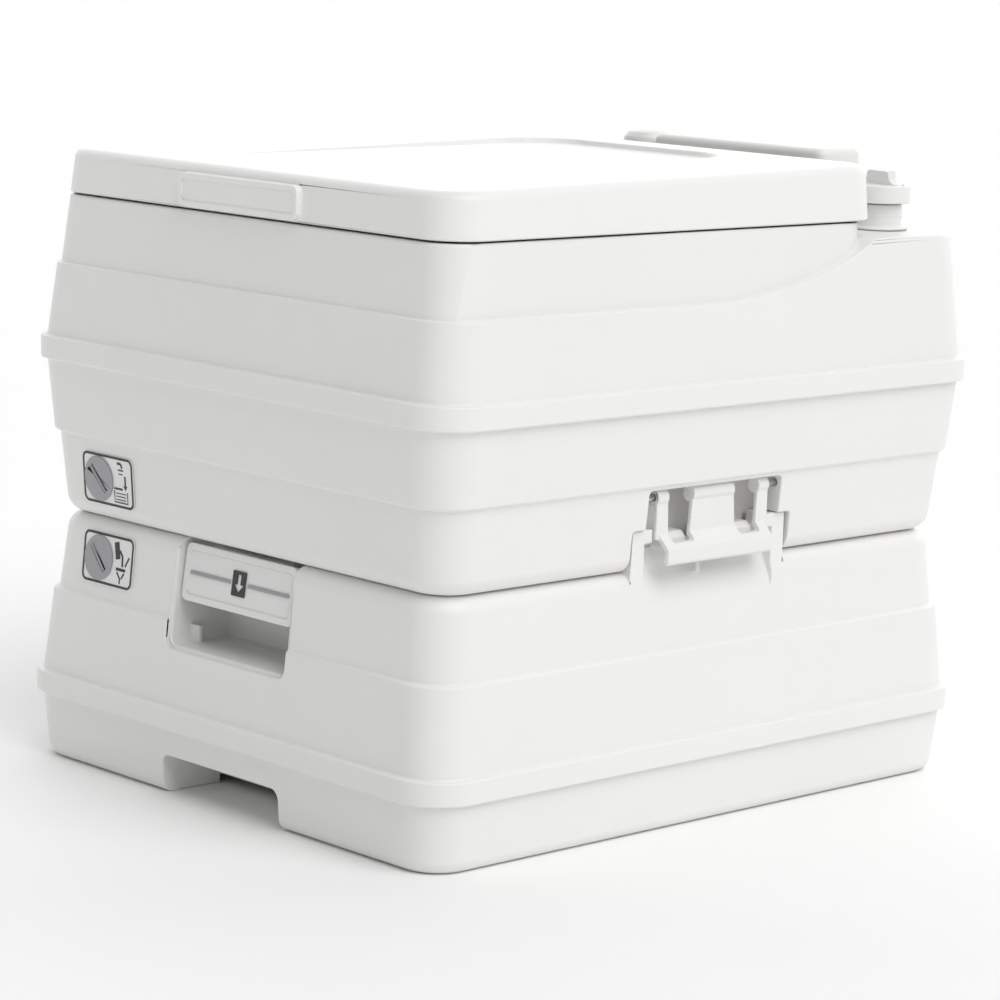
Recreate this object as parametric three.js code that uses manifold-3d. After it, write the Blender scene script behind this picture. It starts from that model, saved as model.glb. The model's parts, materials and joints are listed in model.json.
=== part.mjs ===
// A free-standing two-piece portable toilet. A flush-water tank with bowl, seat and lid stands on a waste
// tank with a slide valve, and a swing-out latch on each side holds the two together.
// Millimetres. X is the width, the front faces -Y, +Z is up, and the floor is z = 0.
import * as THREE from "three";
import { mergeVertices } from "three/addons/utils/BufferGeometryUtils.js";
import Module from "manifold-3d";

const wasm = await Module();
wasm.setup();

// ---------------------------------------------------------------- driving dimensions
const BODY_HALF_WIDTH = 175.4; // the walls next to a weld flange, where they are widest
const EXTRA_HALF_DEPTH = 31; // how much more the half depth is than the half width
const CORNER_RADIUS = 24;
const DRAFT = 0.083; // the walls lean in this much for each millimetre away from a flange
const STEP = 2.4; // stiffening ledge in each wall
const FLANGE_LIP = 3.8;
const FLANGE_EDGE = 0.8;
const WALL = 3;
const GAP = 0.3; // between pieces that touch
const CORNER_STEPS = 4;
const ROUND_STEPS = 18;

const BASE_FLANGE = 38;
const BASE_FLANGE_TOP = 51;
const LOWER_STEP = 98.7;
const TANK_SPLIT = 143.4;
const UPPER_STEP = 189.8;
const TOP_FLANGE = 231;
const TOP_FLANGE_TOP = 244;
const PEDESTAL_STEP = 285.5;
const DECK = 315;
const PEDESTAL_TOP = 324;
const PEDESTAL_REAR = 128;
const FOOT_FILLET = 7;
const SPLIT_FILLET = 9;
const LEAN = Math.atan(DRAFT);

const foot = { height: 4.6, halfX: 135, halfY: 163 }; // the hollow under the base
const notch = { halfX: 50, rear: -162, roof: 22.6, radius: 6 };
const bore = 46; // the waste outlet, centred on x = 0, y = 0
const blade = { half: 51, bottom: 134.3, top: 137.3, stem: 12 };
const trough = { halfX: 62, front: -158, rear: 64, floor: 131 };
const recess = { halfX: 49.2, bottom: 84.5, rear: -161, radius: 4 };
const stopTab = { reach: 7.7, front: -186.5, rear: -183.5, top: 94 }; // on the left wall of the recess
const handle = { halfX: 47.5, bottom: 109.2, top: 141.3, front: -193.6, thick: 3.4, radius: 4, lean: 0.13 };
const badge = { x: -109.5, halfX: 22.9, halfZ: 14.5, radius: 4, thick: 0.8, lensX: -8.1, lens: 12.9 };
const UPPER_BADGE_Z = 167.2;
const LOWER_BADGE_Z = 121.8;
const bay = { x0: -150, x1: -70, front: 172, bottom: 66, top: 136, radius: 6 }; // rear bay of the spout
const spout = { x: -116, z: 103, bore: 20, outer: 23, cap: 27 };
const vent = { x: -80, z: 126, radius: 6, travel: 4 };
const hinge = { y: 138, z: 343, pin: 3.7, knuckle: 6.3, ears: [76, 98], ear: 6, seat: 82.5, lid: 90.3, arm: 7.2 };
const seatRing = { halfX: 157, halfY: 146.5, radius: 62, y: -40.5, bottom: 329.5, top: 343 };
const seatHole = { halfX: 98, halfY: 114, radius: 90, y: -45 };
const mouth = { halfX: 112, halfY: 132, radius: 100, y: -45 };
const lid = { halfX: 166.8, halfY: 164.5, y: -33.5, bottom: 325.2, frontTop: 349.8, rise: 6.2, edge: 5, roof: 6 };
const dish = { halfX: 76, rear: 97.5, front: -150, depth: 3, radius: 28 };
const grip = { halfX: 50, proud: 3, bottom: 326, top: 345, frame: 3.4 };
const cabin = { x0: -85, x1: 92, step: -46.5, y0: 160, y1: 196, low: 333, top: 358.5, round: 4 };
const pump = { x: -65, y: 178, knob: 16.5, skirt: 347, top: 360, stem: 6, bellows: 13, cup: 17.5 };
const fill = { x: 127, y: 172, bore: 10.5, outer: 12.8, top: 330, cap: 17.3, skirt: 331.8, ring: 341, knob: 348.8 };
const cutOut = { floor: 148, halfY: 52, top: 187.5, wideY: 62, wideTop: 166.3 };
const latch = { x: 163.5, z: 182.7, pin: 1.6, knuckle: 4.5, halfY: 43.5, web: 15.5, arm: 35.5, face: 167 };
const latchBar = { bottom: 146.8, top: 153.6, front: 174.6, thick: 3, window: 158.3, root: 161 };
const keeper = {
  inner: 150, outer: 165.2, halfY: 60, leg: 50, ledge: 44.2, ledgeZ: 158.3, top: 165.8, back: 154,
  foot: 130, footInner: 158, rampOut: 169.8, rampLow: 120.5, lug0: 17, lug1: 35, lugRise: 4.3,
};
const keeperRib = { y0: -7.5, y1: -4.5, bottom: 138, top: 146 };
const pedestalEnd = { halfX: 165.5, front: -240, radius: 30 };

// ---------------------------------------------------------------- materials
function plastic(color, roughness) {
  return new THREE.MeshStandardMaterial({ color, roughness, metalness: 0 });
}
const whitePlastic = plastic(0xf0efea, 0.38);
const shadePlastic = plastic(0xdedfdd, 0.45);
const greyPlastic = plastic(0x9b9ca0, 0.4);
const darkPrint = plastic(0x3a3c40, 0.55);
const blackRubber = plastic(0x2b2c2e, 0.8);
const clearHose = plastic(0xd5dadb, 0.25);
const stainless = new THREE.MeshStandardMaterial({ color: 0xb9bcc0, roughness: 0.3, metalness: 1 });

// ---------------------------------------------------------------- shape helpers
function solid(geometry) {
  const bare = geometry.index ? geometry.toNonIndexed() : geometry.clone();
  bare.deleteAttribute("normal");
  bare.deleteAttribute("uv");
  const merged = mergeVertices(bare, 1e-4);
  return new wasm.Manifold(
    new wasm.Mesh({
      numProp: 3,
      vertProperties: merged.attributes.position.array,
      triVerts: new Uint32Array(merged.index.array),
    }),
  );
}

function part(name, shape, material) {
  const data = shape.getMesh();
  const indexed = new THREE.BufferGeometry();
  indexed.setAttribute("position", new THREE.BufferAttribute(data.vertProperties, 3));
  indexed.setIndex(new THREE.BufferAttribute(data.triVerts, 1));
  const geometry = indexed.toNonIndexed();
  geometry.computeVertexNormals();
  const mesh = new THREE.Mesh(geometry, material);
  mesh.name = name;
  return mesh;
}

function at(mesh, x, y, z) {
  mesh.position.set(x, y, z);
  return mesh;
}

function union(shapes) {
  return shapes.reduce((all, shape) => all.add(shape));
}

function box(x0, x1, y0, y1, z0, z1) {
  const geometry = new THREE.BoxGeometry(x1 - x0, y1 - y0, z1 - z0);
  return solid(geometry.translate((x0 + x1) / 2, (y0 + y1) / 2, (z0 + z1) / 2));
}

function upright(radius, x, y, z0, z1, segments = ROUND_STEPS) {
  const geometry = new THREE.CylinderGeometry(radius, radius, z1 - z0, segments);
  return solid(geometry.rotateX(Math.PI / 2).translate(x, y, (z0 + z1) / 2));
}

function alongY(radius, x, z, y0, y1, segments = ROUND_STEPS) {
  const geometry = new THREE.CylinderGeometry(radius, radius, y1 - y0, segments);
  return solid(geometry.translate(x, (y0 + y1) / 2, z));
}

function alongX(radius, y, z, x0, x1, segments = ROUND_STEPS) {
  const geometry = new THREE.CylinderGeometry(radius, radius, x1 - x0, segments);
  return solid(geometry.rotateZ(Math.PI / 2).translate((x0 + x1) / 2, y, z));
}

// A solid of revolution about Z. The profile holds [radius, z] and goes round the section clockwise.
function turned(profile, segments = ROUND_STEPS) {
  const points = profile.map(([radius, z]) => new THREE.Vector2(radius, z));
  const made = new THREE.LatheGeometry(points, segments);
  return solid(made.rotateX(Math.PI / 2));
}

function tube(inner, outer, z0, z1, segments = ROUND_STEPS) {
  return turned([[inner, z0], [outer, z0], [outer, z1], [inner, z1], [inner, z0]], segments);
}

function shapeOf(points) {
  return new THREE.Shape(points.map(([u, v]) => new THREE.Vector2(u, v)));
}

function roundedShape(halfU, halfV, radius) {
  const shape = new THREE.Shape();
  const u = halfU - radius;
  const v = halfV - radius;
  const quarter = Math.PI / 2;
  shape.absarc(u, v, radius, 0, quarter);
  shape.absarc(-u, v, radius, quarter, 2 * quarter);
  shape.absarc(-u, -v, radius, 2 * quarter, 3 * quarter);
  shape.absarc(u, -v, radius, 3 * quarter, 4 * quarter);
  return shape;
}

function extruded(shape, depth, curveSegments = 4) {
  return new THREE.ExtrudeGeometry(shape, { depth, bevelEnabled: false, curveSegments });
}

// An outline in the Y-Z plane, given along X from x0 to x1.
function acrossX(shape, x0, x1) {
  const geometry = extruded(shape, x1 - x0);
  const turn = new THREE.Matrix4().makeBasis(
    new THREE.Vector3(0, 1, 0),
    new THREE.Vector3(0, 0, 1),
    new THREE.Vector3(1, 0, 0),
  );
  return solid(geometry.applyMatrix4(turn).translate(x0, 0, 0));
}

// An outline in the X-Z plane, given along Y from y0 to y1.
function acrossY(shape, y0, y1) {
  const geometry = extruded(shape, y1 - y0);
  return solid(geometry.rotateX(Math.PI / 2).translate(0, y1, 0));
}

// A rounded rectangle at height z, anticlockwise from above. lift can raise it point by point.
function loop({ halfX, halfY, radius, z, y = 0, lift = () => 0 }) {
  const points = [];
  const signX = [1, -1, -1, 1];
  const signY = [1, 1, -1, -1];
  for (let corner = 0; corner < 4; corner++)
    for (let i = 0; i <= CORNER_STEPS; i++) {
      const angle = ((corner + i / CORNER_STEPS) * Math.PI) / 2;
      const px = signX[corner] * (halfX - radius) + radius * Math.cos(angle);
      const py = y + signY[corner] * (halfY - radius) + radius * Math.sin(angle);
      points.push(new THREE.Vector3(px, py, z + lift(py)));
    }
  return points;
}

// A skin over loops from the first to the last, with flat ends, or closed on itself as a ring.
function loft(sections, closed = false) {
  const loops = sections.map(loop);
  const count = loops[0].length;
  const vertices = loops.flat().flatMap((p) => p.toArray());
  const faces = [];
  const bands = closed ? loops.length : loops.length - 1;
  for (let k = 0; k < bands; k++) {
    const low = k * count;
    const high = ((k + 1) % loops.length) * count;
    for (let i = 0; i < count; i++) {
      const j = (i + 1) % count;
      faces.push(low + i, low + j, high + j, low + i, high + j, high + i);
    }
  }
  if (!closed)
    [0, loops.length - 1].forEach((k) => {
      const middle = vertices.length / 3;
      const centre = new THREE.Vector3();
      loops[k].forEach((p) => centre.addScaledVector(p, 1 / count));
      vertices.push(...centre.toArray());
      for (let i = 0; i < count; i++) {
        const a = k * count + i;
        const b = k * count + ((i + 1) % count);
        faces.push(middle, ...(k ? [a, b] : [b, a]));
      }
    });
  const geometry = new THREE.BufferGeometry();
  geometry.setAttribute("position", new THREE.Float32BufferAttribute(vertices, 3));
  geometry.setIndex(faces);
  return solid(geometry);
}

// ---------------------------------------------------------------- the shared outline
function halfWidthAt(z) {
  if (z <= BASE_FLANGE) return BODY_HALF_WIDTH - DRAFT * (BASE_FLANGE - z);
  if (z < BASE_FLANGE_TOP) return BODY_HALF_WIDTH;
  if (z < TANK_SPLIT) return BODY_HALF_WIDTH - DRAFT * (z - BASE_FLANGE_TOP) - (z > LOWER_STEP ? STEP : 0);
  if (z < TOP_FLANGE) return BODY_HALF_WIDTH - DRAFT * (TOP_FLANGE - z) - (z < UPPER_STEP ? STEP : 0);
  if (z <= TOP_FLANGE_TOP) return BODY_HALF_WIDTH;
  return BODY_HALF_WIDTH - DRAFT * (z - TOP_FLANGE_TOP);
}

function frontAt(z) {
  return -(halfWidthAt(z) + EXTRA_HALF_DEPTH);
}

// The tank outline at height z, drawn in by inset. A negative inset stands proud.
function outline(z, inset = 0) {
  const half = halfWidthAt(z) - inset;
  return { halfX: half, halfY: half + EXTRA_HALF_DEPTH, radius: Math.max(CORNER_RADIUS - inset, 2), z };
}

// Sections round an edge, from the flat face out to the wall.
function fillet(radius, steps, section) {
  return Array.from({ length: steps + 1 }, (_, i) => {
    const angle = ((i / steps) * Math.PI) / 2;
    return section(radius * (1 - Math.sin(angle)), radius * (1 - Math.cos(angle)));
  });
}

function flangeBand(bottom, top) {
  return [
    outline(bottom, FLANGE_EDGE - FLANGE_LIP),
    outline(bottom + FLANGE_EDGE, -FLANGE_LIP),
    outline(top - FLANGE_EDGE, -FLANGE_LIP),
    outline(top, FLANGE_EDGE - FLANGE_LIP),
    outline(top),
  ];
}

// The inside of a flange band, round the rim of the shell below it.
function socket(bottom) {
  return [
    { ...outline(bottom, -GAP), z: bottom - 1 },
    { ...outline(bottom, -GAP), z: bottom + 9 },
    outline(bottom + 14, WALL),
  ];
}

// A shell with its pockets cut in: walls is what is left standing round each pocket.
function hollowed(outer, cavity, walls, pockets) {
  return outer.subtract(cavity.subtract(union(walls))).subtract(union(pockets));
}

// A slot in the X-Z plane from an open side to an end with rounded corners.
function slotShape(half, open, end, radius) {
  const way = Math.sign(end - open);
  const points = [[half, open]];
  for (let i = 0; i <= 8; i++) {
    const angle = (i / 8) * Math.PI;
    const side = i < 4 ? 1 : -1;
    if (i === 4) points.push([half - radius, end]);
    points.push([side * (half - radius) + radius * Math.cos(angle), end - way * radius * (1 - Math.sin(angle))]);
  }
  points.push([-half, open]);
  return shapeOf(points);
}

function moved(shape, dx, dz) {
  return shapeOf(shape.getPoints().map((point) => [point.x + dx, point.y + dz]));
}

function sideBox(side, x0, x1, y0, y1, z0, z1) {
  return box(Math.min(side * x0, side * x1), Math.max(side * x0, side * x1), y0, y1, z0, z1);
}

const sides = [
  { side: 1, word: "right" },
  { side: -1, word: "left" },
];

// ---------------------------------------------------------------- waste tank
function wasteBottomShell() {
  const rim = BASE_FLANGE_TOP - 5;
  const floor = foot.height + WALL;
  const outer = loft([
    ...fillet(FOOT_FILLET, 3, (inset, z) => outline(z, inset)),
    outline(BASE_FLANGE),
    outline(rim),
  ]);
  const cavity = loft([
    { ...outline(floor, 2 * WALL), z: floor },
    outline(floor + WALL, WALL),
    outline(BASE_FLANGE, WALL),
    { ...outline(rim, WALL), z: rim + 1 },
  ]);
  const hollow = { halfX: foot.halfX, halfY: foot.halfY, radius: CORNER_RADIUS };
  const under = loft([
    { ...hollow, z: -1 },
    { ...hollow, z: foot.height },
  ]);
  const fingers = slotShape(notch.halfX, -1, notch.roof, notch.radius);
  const housing = slotShape(notch.halfX + WALL, -1, notch.roof + WALL, notch.radius + WALL);
  return hollowed(outer, cavity, [acrossY(housing, -230, notch.rear + WALL)], [
    under,
    acrossY(fingers, -230, notch.rear),
  ]);
}

function keeperOn(side) {
  const { inner, outer, halfY, ledge, ledgeZ, back, lug0, lug1, lugRise } = keeper;
  const upstand = sideBox(side, inner, outer, -halfY, halfY, TANK_SPLIT - 5, keeper.top);
  const window = sideBox(side, inner - 1, outer + 1, -ledge, ledge, ledgeZ - 1.3, keeper.top + 1);
  const face = sideBox(side, back, outer + 1, -ledge, ledge, ledgeZ - 4, ledgeZ);
  const lugs = [-1, 1].map((way) => {
    const [y0, y1] = way > 0 ? [lug0, lug1] : [-lug1, -lug0];
    return sideBox(side, inner + 1, latch.x, y0, y1, ledgeZ - 4, ledgeZ + lugRise);
  });
  return { upstand: upstand.subtract(window).subtract(face), lugs: union(lugs) };
}

function fingerRamp(side, grow) {
  const { back, leg, ledgeZ, rampOut, rampLow } = keeper;
  const ramp = shapeOf([
    [side * (rampOut + grow * 0.7), rampLow - grow * 2],
    [side * (back - grow), ledgeZ - 1.3],
    [side * (back - grow), ledgeZ],
    [side * 200, ledgeZ],
    [side * 200, rampLow - grow * 2],
  ]);
  return acrossY(ramp, -leg - grow, leg + grow);
}

function wasteTopShell() {
  const top = TANK_SPLIT - GAP;
  const outer = loft([
    ...flangeBand(BASE_FLANGE, BASE_FLANGE_TOP),
    outline(LOWER_STEP - 0.6),
    outline(LOWER_STEP + 0.6),
    ...fillet(SPLIT_FILLET, 3, (inset, drop) => outline(top - drop, inset)).reverse(),
  ]);
  const cavity = loft([
    ...socket(BASE_FLANGE),
    outline(LOWER_STEP - 1, WALL),
    outline(LOWER_STEP + 1, WALL),
    outline(top - SPLIT_FILLET, WALL),
    outline(top - WALL, SPLIT_FILLET),
  ]);
  const bayMiddle = (bay.x0 + bay.x1) / 2;
  const bayHalf = (bay.x1 - bay.x0) / 2;
  const baySlot = (grow) => {
    const low = bay.bottom - grow;
    const high = bay.top + grow;
    const shape = roundedShape(bayHalf + grow, (high - low) / 2, bay.radius);
    return acrossY(moved(shape, bayMiddle, (high + low) / 2), bay.front - grow, 230);
  };
  const recessSlot = (grow) =>
    acrossY(
      slotShape(recess.halfX + grow, TANK_SPLIT + 5, recess.bottom - grow, recess.radius + grow),
      -230,
      recess.rear + grow,
    );
  const troughBox = (grow) =>
    box(
      -trough.halfX - grow,
      trough.halfX + grow,
      trough.front - grow,
      trough.rear + grow,
      trough.floor - grow,
      TANK_SPLIT + 5,
    );
  const walls = [baySlot(WALL), recessSlot(WALL), troughBox(WALL)];
  const pockets = [
    baySlot(0),
    recessSlot(0),
    troughBox(0),
    box(-recess.halfX, recess.halfX, recess.rear - 1, trough.front + 1, trough.floor, TANK_SPLIT + 5),
    upright(bore + 1, 0, 0, trough.floor - 10, TANK_SPLIT, 32),
    alongY(spout.outer + GAP, spout.x, spout.z, bay.front - 10, bay.front + 10),
    alongY(3.3, vent.x, vent.z, bay.front - 10, bay.front + 10, 12),
  ];
  sides.forEach(({ side }) => {
    walls.push(fingerRamp(side, 4));
    pockets.push(fingerRamp(side, 0));
  });
  const shell = hollowed(outer, cavity, walls, pockets);
  const { reach, front, rear } = stopTab;
  const tab = box(-recess.halfX - 1, -recess.halfX - 1 + reach, front, rear, recess.bottom - 1, stopTab.top);
  const keepers = sides.flatMap(({ side }) => {
    const { upstand, lugs } = keeperOn(side);
    const rib = sideBox(
      side, keeper.back + 1, latch.x, keeperRib.y0, keeperRib.y1, keeperRib.bottom, keeperRib.top,
    );
    const feet = [-1, 1].map((way) => {
      const [y0, y1] = way > 0 ? [keeper.leg, keeper.halfY] : [-keeper.halfY, -keeper.leg];
      return sideBox(side, keeper.footInner, keeper.outer, y0, y1, keeper.foot, TANK_SPLIT - 4);
    });
    return [upstand.subtract(fingerRamp(side, 0)), lugs, rib, ...feet];
  });
  return union([shell, tab, ...keepers]);
}

function valveBody() {
  const plate = box(
    -trough.halfX + GAP,
    trough.halfX - GAP,
    trough.front + GAP,
    trough.rear - GAP,
    trough.floor + GAP,
    TANK_SPLIT - 2 * GAP,
  );
  const slot = box(-blade.half - 0.4, blade.half + 0.4, -150, blade.half + 1, blade.bottom - GAP, blade.top + GAP);
  const way = blade.stem + 0.5;
  const mouthSlot = box(-way, way, trough.front - 1, -149, blade.bottom - GAP, blade.top + GAP);
  const groove = tube(bore + 1, bore + 5.5, TANK_SPLIT - 4, TANK_SPLIT + 1, 32);
  return plate
    .subtract(upright(bore, 0, 0, trough.floor - 1, TANK_SPLIT + 1, 32))
    .subtract(slot)
    .subtract(mouthSlot)
    .subtract(groove);
}

function valveSeal() {
  return tube(bore + 1.3, bore + 5.2, TANK_SPLIT - 3.7, TANK_SPLIT, 32);
}

function valveBlade() {
  const plate = box(-blade.half, blade.half, -blade.half, blade.half, blade.bottom, blade.top);
  const stem = box(-blade.stem, blade.stem, handle.front + handle.thick + 4, -blade.half + 1, blade.bottom, blade.top);
  return plate.add(stem);
}

// The plate of the handle leans back with the wall, and the hook behind it stays level with the blade.
function valveHandle() {
  const middle = (handle.top + handle.bottom) / 2;
  const halfZ = (handle.top - handle.bottom) / 2;
  const front = acrossY(roundedShape(handle.halfX, halfZ, handle.radius), 0, handle.thick);
  const field = acrossY(roundedShape(handle.halfX - 4, halfZ - 4, handle.radius - 1.5), -1, 0.8);
  const plate = front.subtract(field).rotate([-THREE.MathUtils.radToDeg(handle.lean), 0, 0]);
  const slotZ = (blade.bottom + blade.top) / 2 - middle;
  const hook = box(-30, 30, handle.thick - 1, 14, slotZ - 5, slotZ + 5);
  const stemSlot = box(
    -blade.stem - GAP,
    blade.stem + GAP,
    handle.thick + 3,
    15,
    slotZ - 1.5 - 3 * GAP,
    slotZ + 1.5 + 3 * GAP,
  );
  return plate.add(hook).subtract(stemSlot);
}

function handleMark() {
  const arrow = shapeOf([[0, -5], [4, -0.5], [1.5, -0.5], [1.5, 5], [-1.5, 5], [-1.5, -0.5], [-4, -0.5]]);
  return acrossY(roundedShape(5.6, 6.9, 0.6), 0.1, 0.5).subtract(acrossY(arrow, 0, 1));
}

function handleStripe() {
  return box(-handle.halfX + 5.5, -7.5, 0.1, 0.5, -1, 1);
}

function spoutNeck() {
  const { bore: inner, outer } = spout;
  return turned([
    [inner, -8],
    [outer, -8],
    [outer, GAP],
    [outer + 5, GAP],
    [outer + 5, 3],
    [outer, 3],
    [outer, 20],
    [inner, 20],
    [inner, -8],
  ]);
}

function spoutCap() {
  const { outer, cap } = spout;
  const cup = turned([
    [0, 21.4],
    [outer + 3 * GAP, 21.4],
    [outer + 3 * GAP, 7],
    [cap, 7],
    [cap, 23.4],
    [cap - 1.2, 24.6],
    [0, 24.6],
  ]);
  const ribs = Array.from({ length: 12 }, (_, i) => {
    const angle = (i / 12) * 2 * Math.PI;
    return upright(1.3, cap * Math.cos(angle), cap * Math.sin(angle), 8.5, 23, 6);
  });
  return union([cup, ...ribs]);
}

function ventButton() {
  return turned([
    [0, -12],
    [3, -12],
    [3, 1 + vent.travel],
    [vent.radius, 1 + vent.travel],
    [vent.radius, 9],
    [vent.radius - 1, 10],
    [0, 10],
  ], 16);
}

// ---------------------------------------------------------------- flush tank
function cutOutBoxes(side, grow) {
  const reach = 205;
  const slot = sideBox(
    side,
    cutOut.floor - grow,
    reach,
    -cutOut.halfY - grow,
    cutOut.halfY + grow,
    TANK_SPLIT - 5,
    cutOut.top + grow,
  );
  const wide = sideBox(
    side,
    cutOut.floor - grow,
    reach,
    -cutOut.wideY - grow,
    cutOut.wideY + grow,
    TANK_SPLIT - 5,
    cutOut.wideTop + grow,
  );
  return slot.add(wide);
}

function flushBottomShell() {
  const rim = TOP_FLANGE + 8;
  const outer = loft([
    ...fillet(SPLIT_FILLET, 3, (inset, rise) => outline(TANK_SPLIT + rise, inset)),
    outline(UPPER_STEP - 0.6),
    outline(UPPER_STEP + 0.6),
    outline(TOP_FLANGE),
    outline(rim),
  ]);
  const cavity = loft([
    outline(TANK_SPLIT + WALL, SPLIT_FILLET),
    outline(TANK_SPLIT + SPLIT_FILLET, WALL),
    outline(UPPER_STEP - 1, WALL),
    outline(UPPER_STEP + 1, WALL),
    outline(TOP_FLANGE, WALL),
    { ...outline(rim, WALL), z: rim + 1 },
  ]);
  const pinHole = latch.pin + GAP;
  const blind = cutOut.halfY + 1.8;
  return hollowed(outer, cavity, sides.map(({ side }) => cutOutBoxes(side, WALL)), [
    ...sides.map(({ side }) => cutOutBoxes(side, 0)),
    ...sides.map(({ side }) => alongY(pinHole, side * latch.x, latch.z, -blind, blind, 12)),
    upright(bore + 3.5 + GAP, 0, 0, TANK_SPLIT - 5, TANK_SPLIT + 8, 32),
  ]);
}

// The pedestal stops at the rear with rounded corners, in front of the deck.
function pedestalLimit(inset) {
  const { halfX, front, radius } = pedestalEnd;
  const plan = {
    halfX: halfX - inset,
    halfY: (PEDESTAL_REAR - front) / 2 - inset,
    radius: radius - inset,
    y: (PEDESTAL_REAR + front) / 2,
  };
  return loft([{ ...plan, z: 200 }, { ...plan, z: 400 }]);
}

// The solid form of the upper shell: the tank wall up to the swept line, and the pedestal inside it.
function topForm(start, inset) {
  const deck = DECK - inset;
  const body = loft([
    ...start,
    { ...outline(DECK - 2, inset), z: deck - 2 },
    { ...outline(DECK, inset + 2), z: deck },
  ]);
  const swept = [
    [-240, PEDESTAL_STEP],
    [6, PEDESTAL_STEP],
    [49, 291],
    [82, 298.8],
    [104, 306.6],
    [120.5, 314.3],
    [127, DECK + 1],
    [240, DECK + 1],
  ].map(([y, z]) => [y, z - inset]);
  const under = acrossX(shapeOf([[-240, 200], ...swept, [240, 200]]), -240, 240);
  const pedestal = loft([
    outline(PEDESTAL_STEP - 8, inset + STEP),
    { ...outline(PEDESTAL_TOP - 2, inset + STEP), z: PEDESTAL_TOP - inset - 2 },
    { ...outline(PEDESTAL_TOP, inset + STEP + 2), z: PEDESTAL_TOP - inset },
  ]).intersect(pedestalLimit(inset));
  return body.intersect(under).add(pedestal);
}

function flushTopShell() {
  const outer = topForm(flangeBand(TOP_FLANGE, TOP_FLANGE_TOP), 0);
  const cavity = topForm(socket(TOP_FLANGE), WALL);
  const opening = { halfX: mouth.halfX + 3.5, halfY: mouth.halfY + 3.5, radius: mouth.radius, y: mouth.y };
  const hole = loft([
    { ...opening, z: PEDESTAL_TOP - 20 },
    { ...opening, z: PEDESTAL_TOP + 5 },
  ]);
  return outer
    .subtract(cavity)
    .subtract(hole)
    .subtract(upright(fill.outer + GAP, fill.x, fill.y, DECK - 10, DECK + 5))
    .subtract(upright(pump.stem + 1, pump.x, pump.y, DECK - 10, DECK + 5));
}

function bowl() {
  const level = (z, share, grow) => ({
    halfX: bore + (mouth.halfX - bore) * share + grow,
    halfY: bore + (mouth.halfY - bore) * share + grow,
    radius: bore + (mouth.radius - bore) * share + grow,
    y: mouth.y * share,
    z,
  });
  const bottom = TANK_SPLIT + GAP;
  const lip = PEDESTAL_TOP + GAP;
  const inside = [
    [lip - 24, 0.97],
    [270, 0.86],
    [225, 0.6],
    [190, 0.26],
    [172, 0.06],
    [160, 0],
  ];
  return loft(
    [
      level(bottom, 0, 3.5),
      ...inside.map(([z, share]) => level(z, share, 3)).reverse(),
      level(lip, 1, 3),
      level(lip, 1, 11),
      level(lip + 1.6, 1, 11),
      level(lip + 2.6, 1, 9),
      level(lip + 2.6, 1, 1.5),
      level(lip + 1.2, 1, 0),
      ...inside.map(([z, share]) => level(z, share, 0)),
      level(bottom, 0, 0),
    ],
    true,
  );
}

function fillNeck() {
  return turned([
    [fill.bore, DECK - 9],
    [fill.outer, DECK - 9],
    [fill.outer, DECK + GAP],
    [fill.outer + 3.5, DECK + GAP],
    [fill.outer + 3.5, DECK + 2],
    [fill.outer, DECK + 2.6],
    [fill.outer, fill.top],
    [fill.bore, fill.top],
    [fill.bore, DECK - 9],
  ]);
}

function fillCap() {
  const plug = fill.bore - 0.6;
  const body = turned([
    [0, fill.top + 4],
    [plug - 2.5, fill.top + 4],
    [plug - 2.5, fill.top - 6],
    [plug, fill.top - 6],
    [plug, fill.skirt],
    [fill.cap - 2.5, fill.skirt],
    [fill.cap - 2.5, fill.skirt - 1.2],
    [fill.cap, fill.skirt - 1.2],
    [fill.cap, fill.ring - 1.2],
    [fill.cap - 1.2, fill.ring],
    [0, fill.ring],
  ]);
  const flare = shapeOf([
    [-15, fill.ring - 1],
    [15, fill.ring - 1],
    [10.6, fill.ring + 2.6],
    [8.4, fill.ring + 6],
    [7.7, fill.knob],
    [-7.7, fill.knob],
    [-8.4, fill.ring + 6],
    [-10.6, fill.ring + 2.6],
  ]);
  return body.add(acrossY(flare, -3.2, 3.2));
}

function fillCapSeal() {
  return tube(fill.bore - 0.2, fill.outer, fill.top + GAP, fill.skirt - GAP);
}

// ---------------------------------------------------------------- flush pump
function pumpHousing() {
  const { x0, x1, step, y0, y1, low, top, round } = cabin;
  const block = (shrink) => {
    const halfY = (y1 - y0) / 2 - shrink;
    const y = (y0 + y1) / 2;
    const slab = (left, right, high) => {
      const halfX = (right - left) / 2 - shrink;
      const base = { halfX, halfY, radius: 6 - shrink, y };
      const shape = loft([
        { ...base, z: DECK + GAP - shrink },
        { ...base, z: high - shrink - round },
        { ...base, halfX: halfX - 1.2, halfY: halfY - 1.2, z: high - shrink - 1.2 },
        { ...base, halfX: halfX - round, halfY: halfY - round, radius: 2, z: high - shrink },
      ]);
      return shape.translate((left + right) / 2, 0, 0);
    };
    return slab(x0, x1, low).add(slab(step, x1, top));
  };
  return block(0).subtract(block(2.5)).subtract(upright(pump.stem + 1, pump.x, pump.y, DECK, cabin.low + 5));
}

function pumpKnob() {
  const { knob, skirt, top } = pump;
  return turned([
    [0, skirt + 3],
    [pump.stem + GAP, skirt + 3],
    [knob - 2, skirt + 3],
    [knob - 2, skirt],
    [knob, skirt],
    [knob, top - 6],
    [knob - 1.5, top - 3.5],
    [knob - 6, top - 1],
    [0, top],
  ]);
}

function pumpStem() {
  return turned([
    [0, DECK - 7],
    [9, DECK - 7],
    [9, DECK - 4],
    [pump.stem, DECK - 4],
    [pump.stem, pump.skirt + 3 - GAP],
    [0, pump.skirt + 3 - GAP],
  ]);
}

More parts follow.
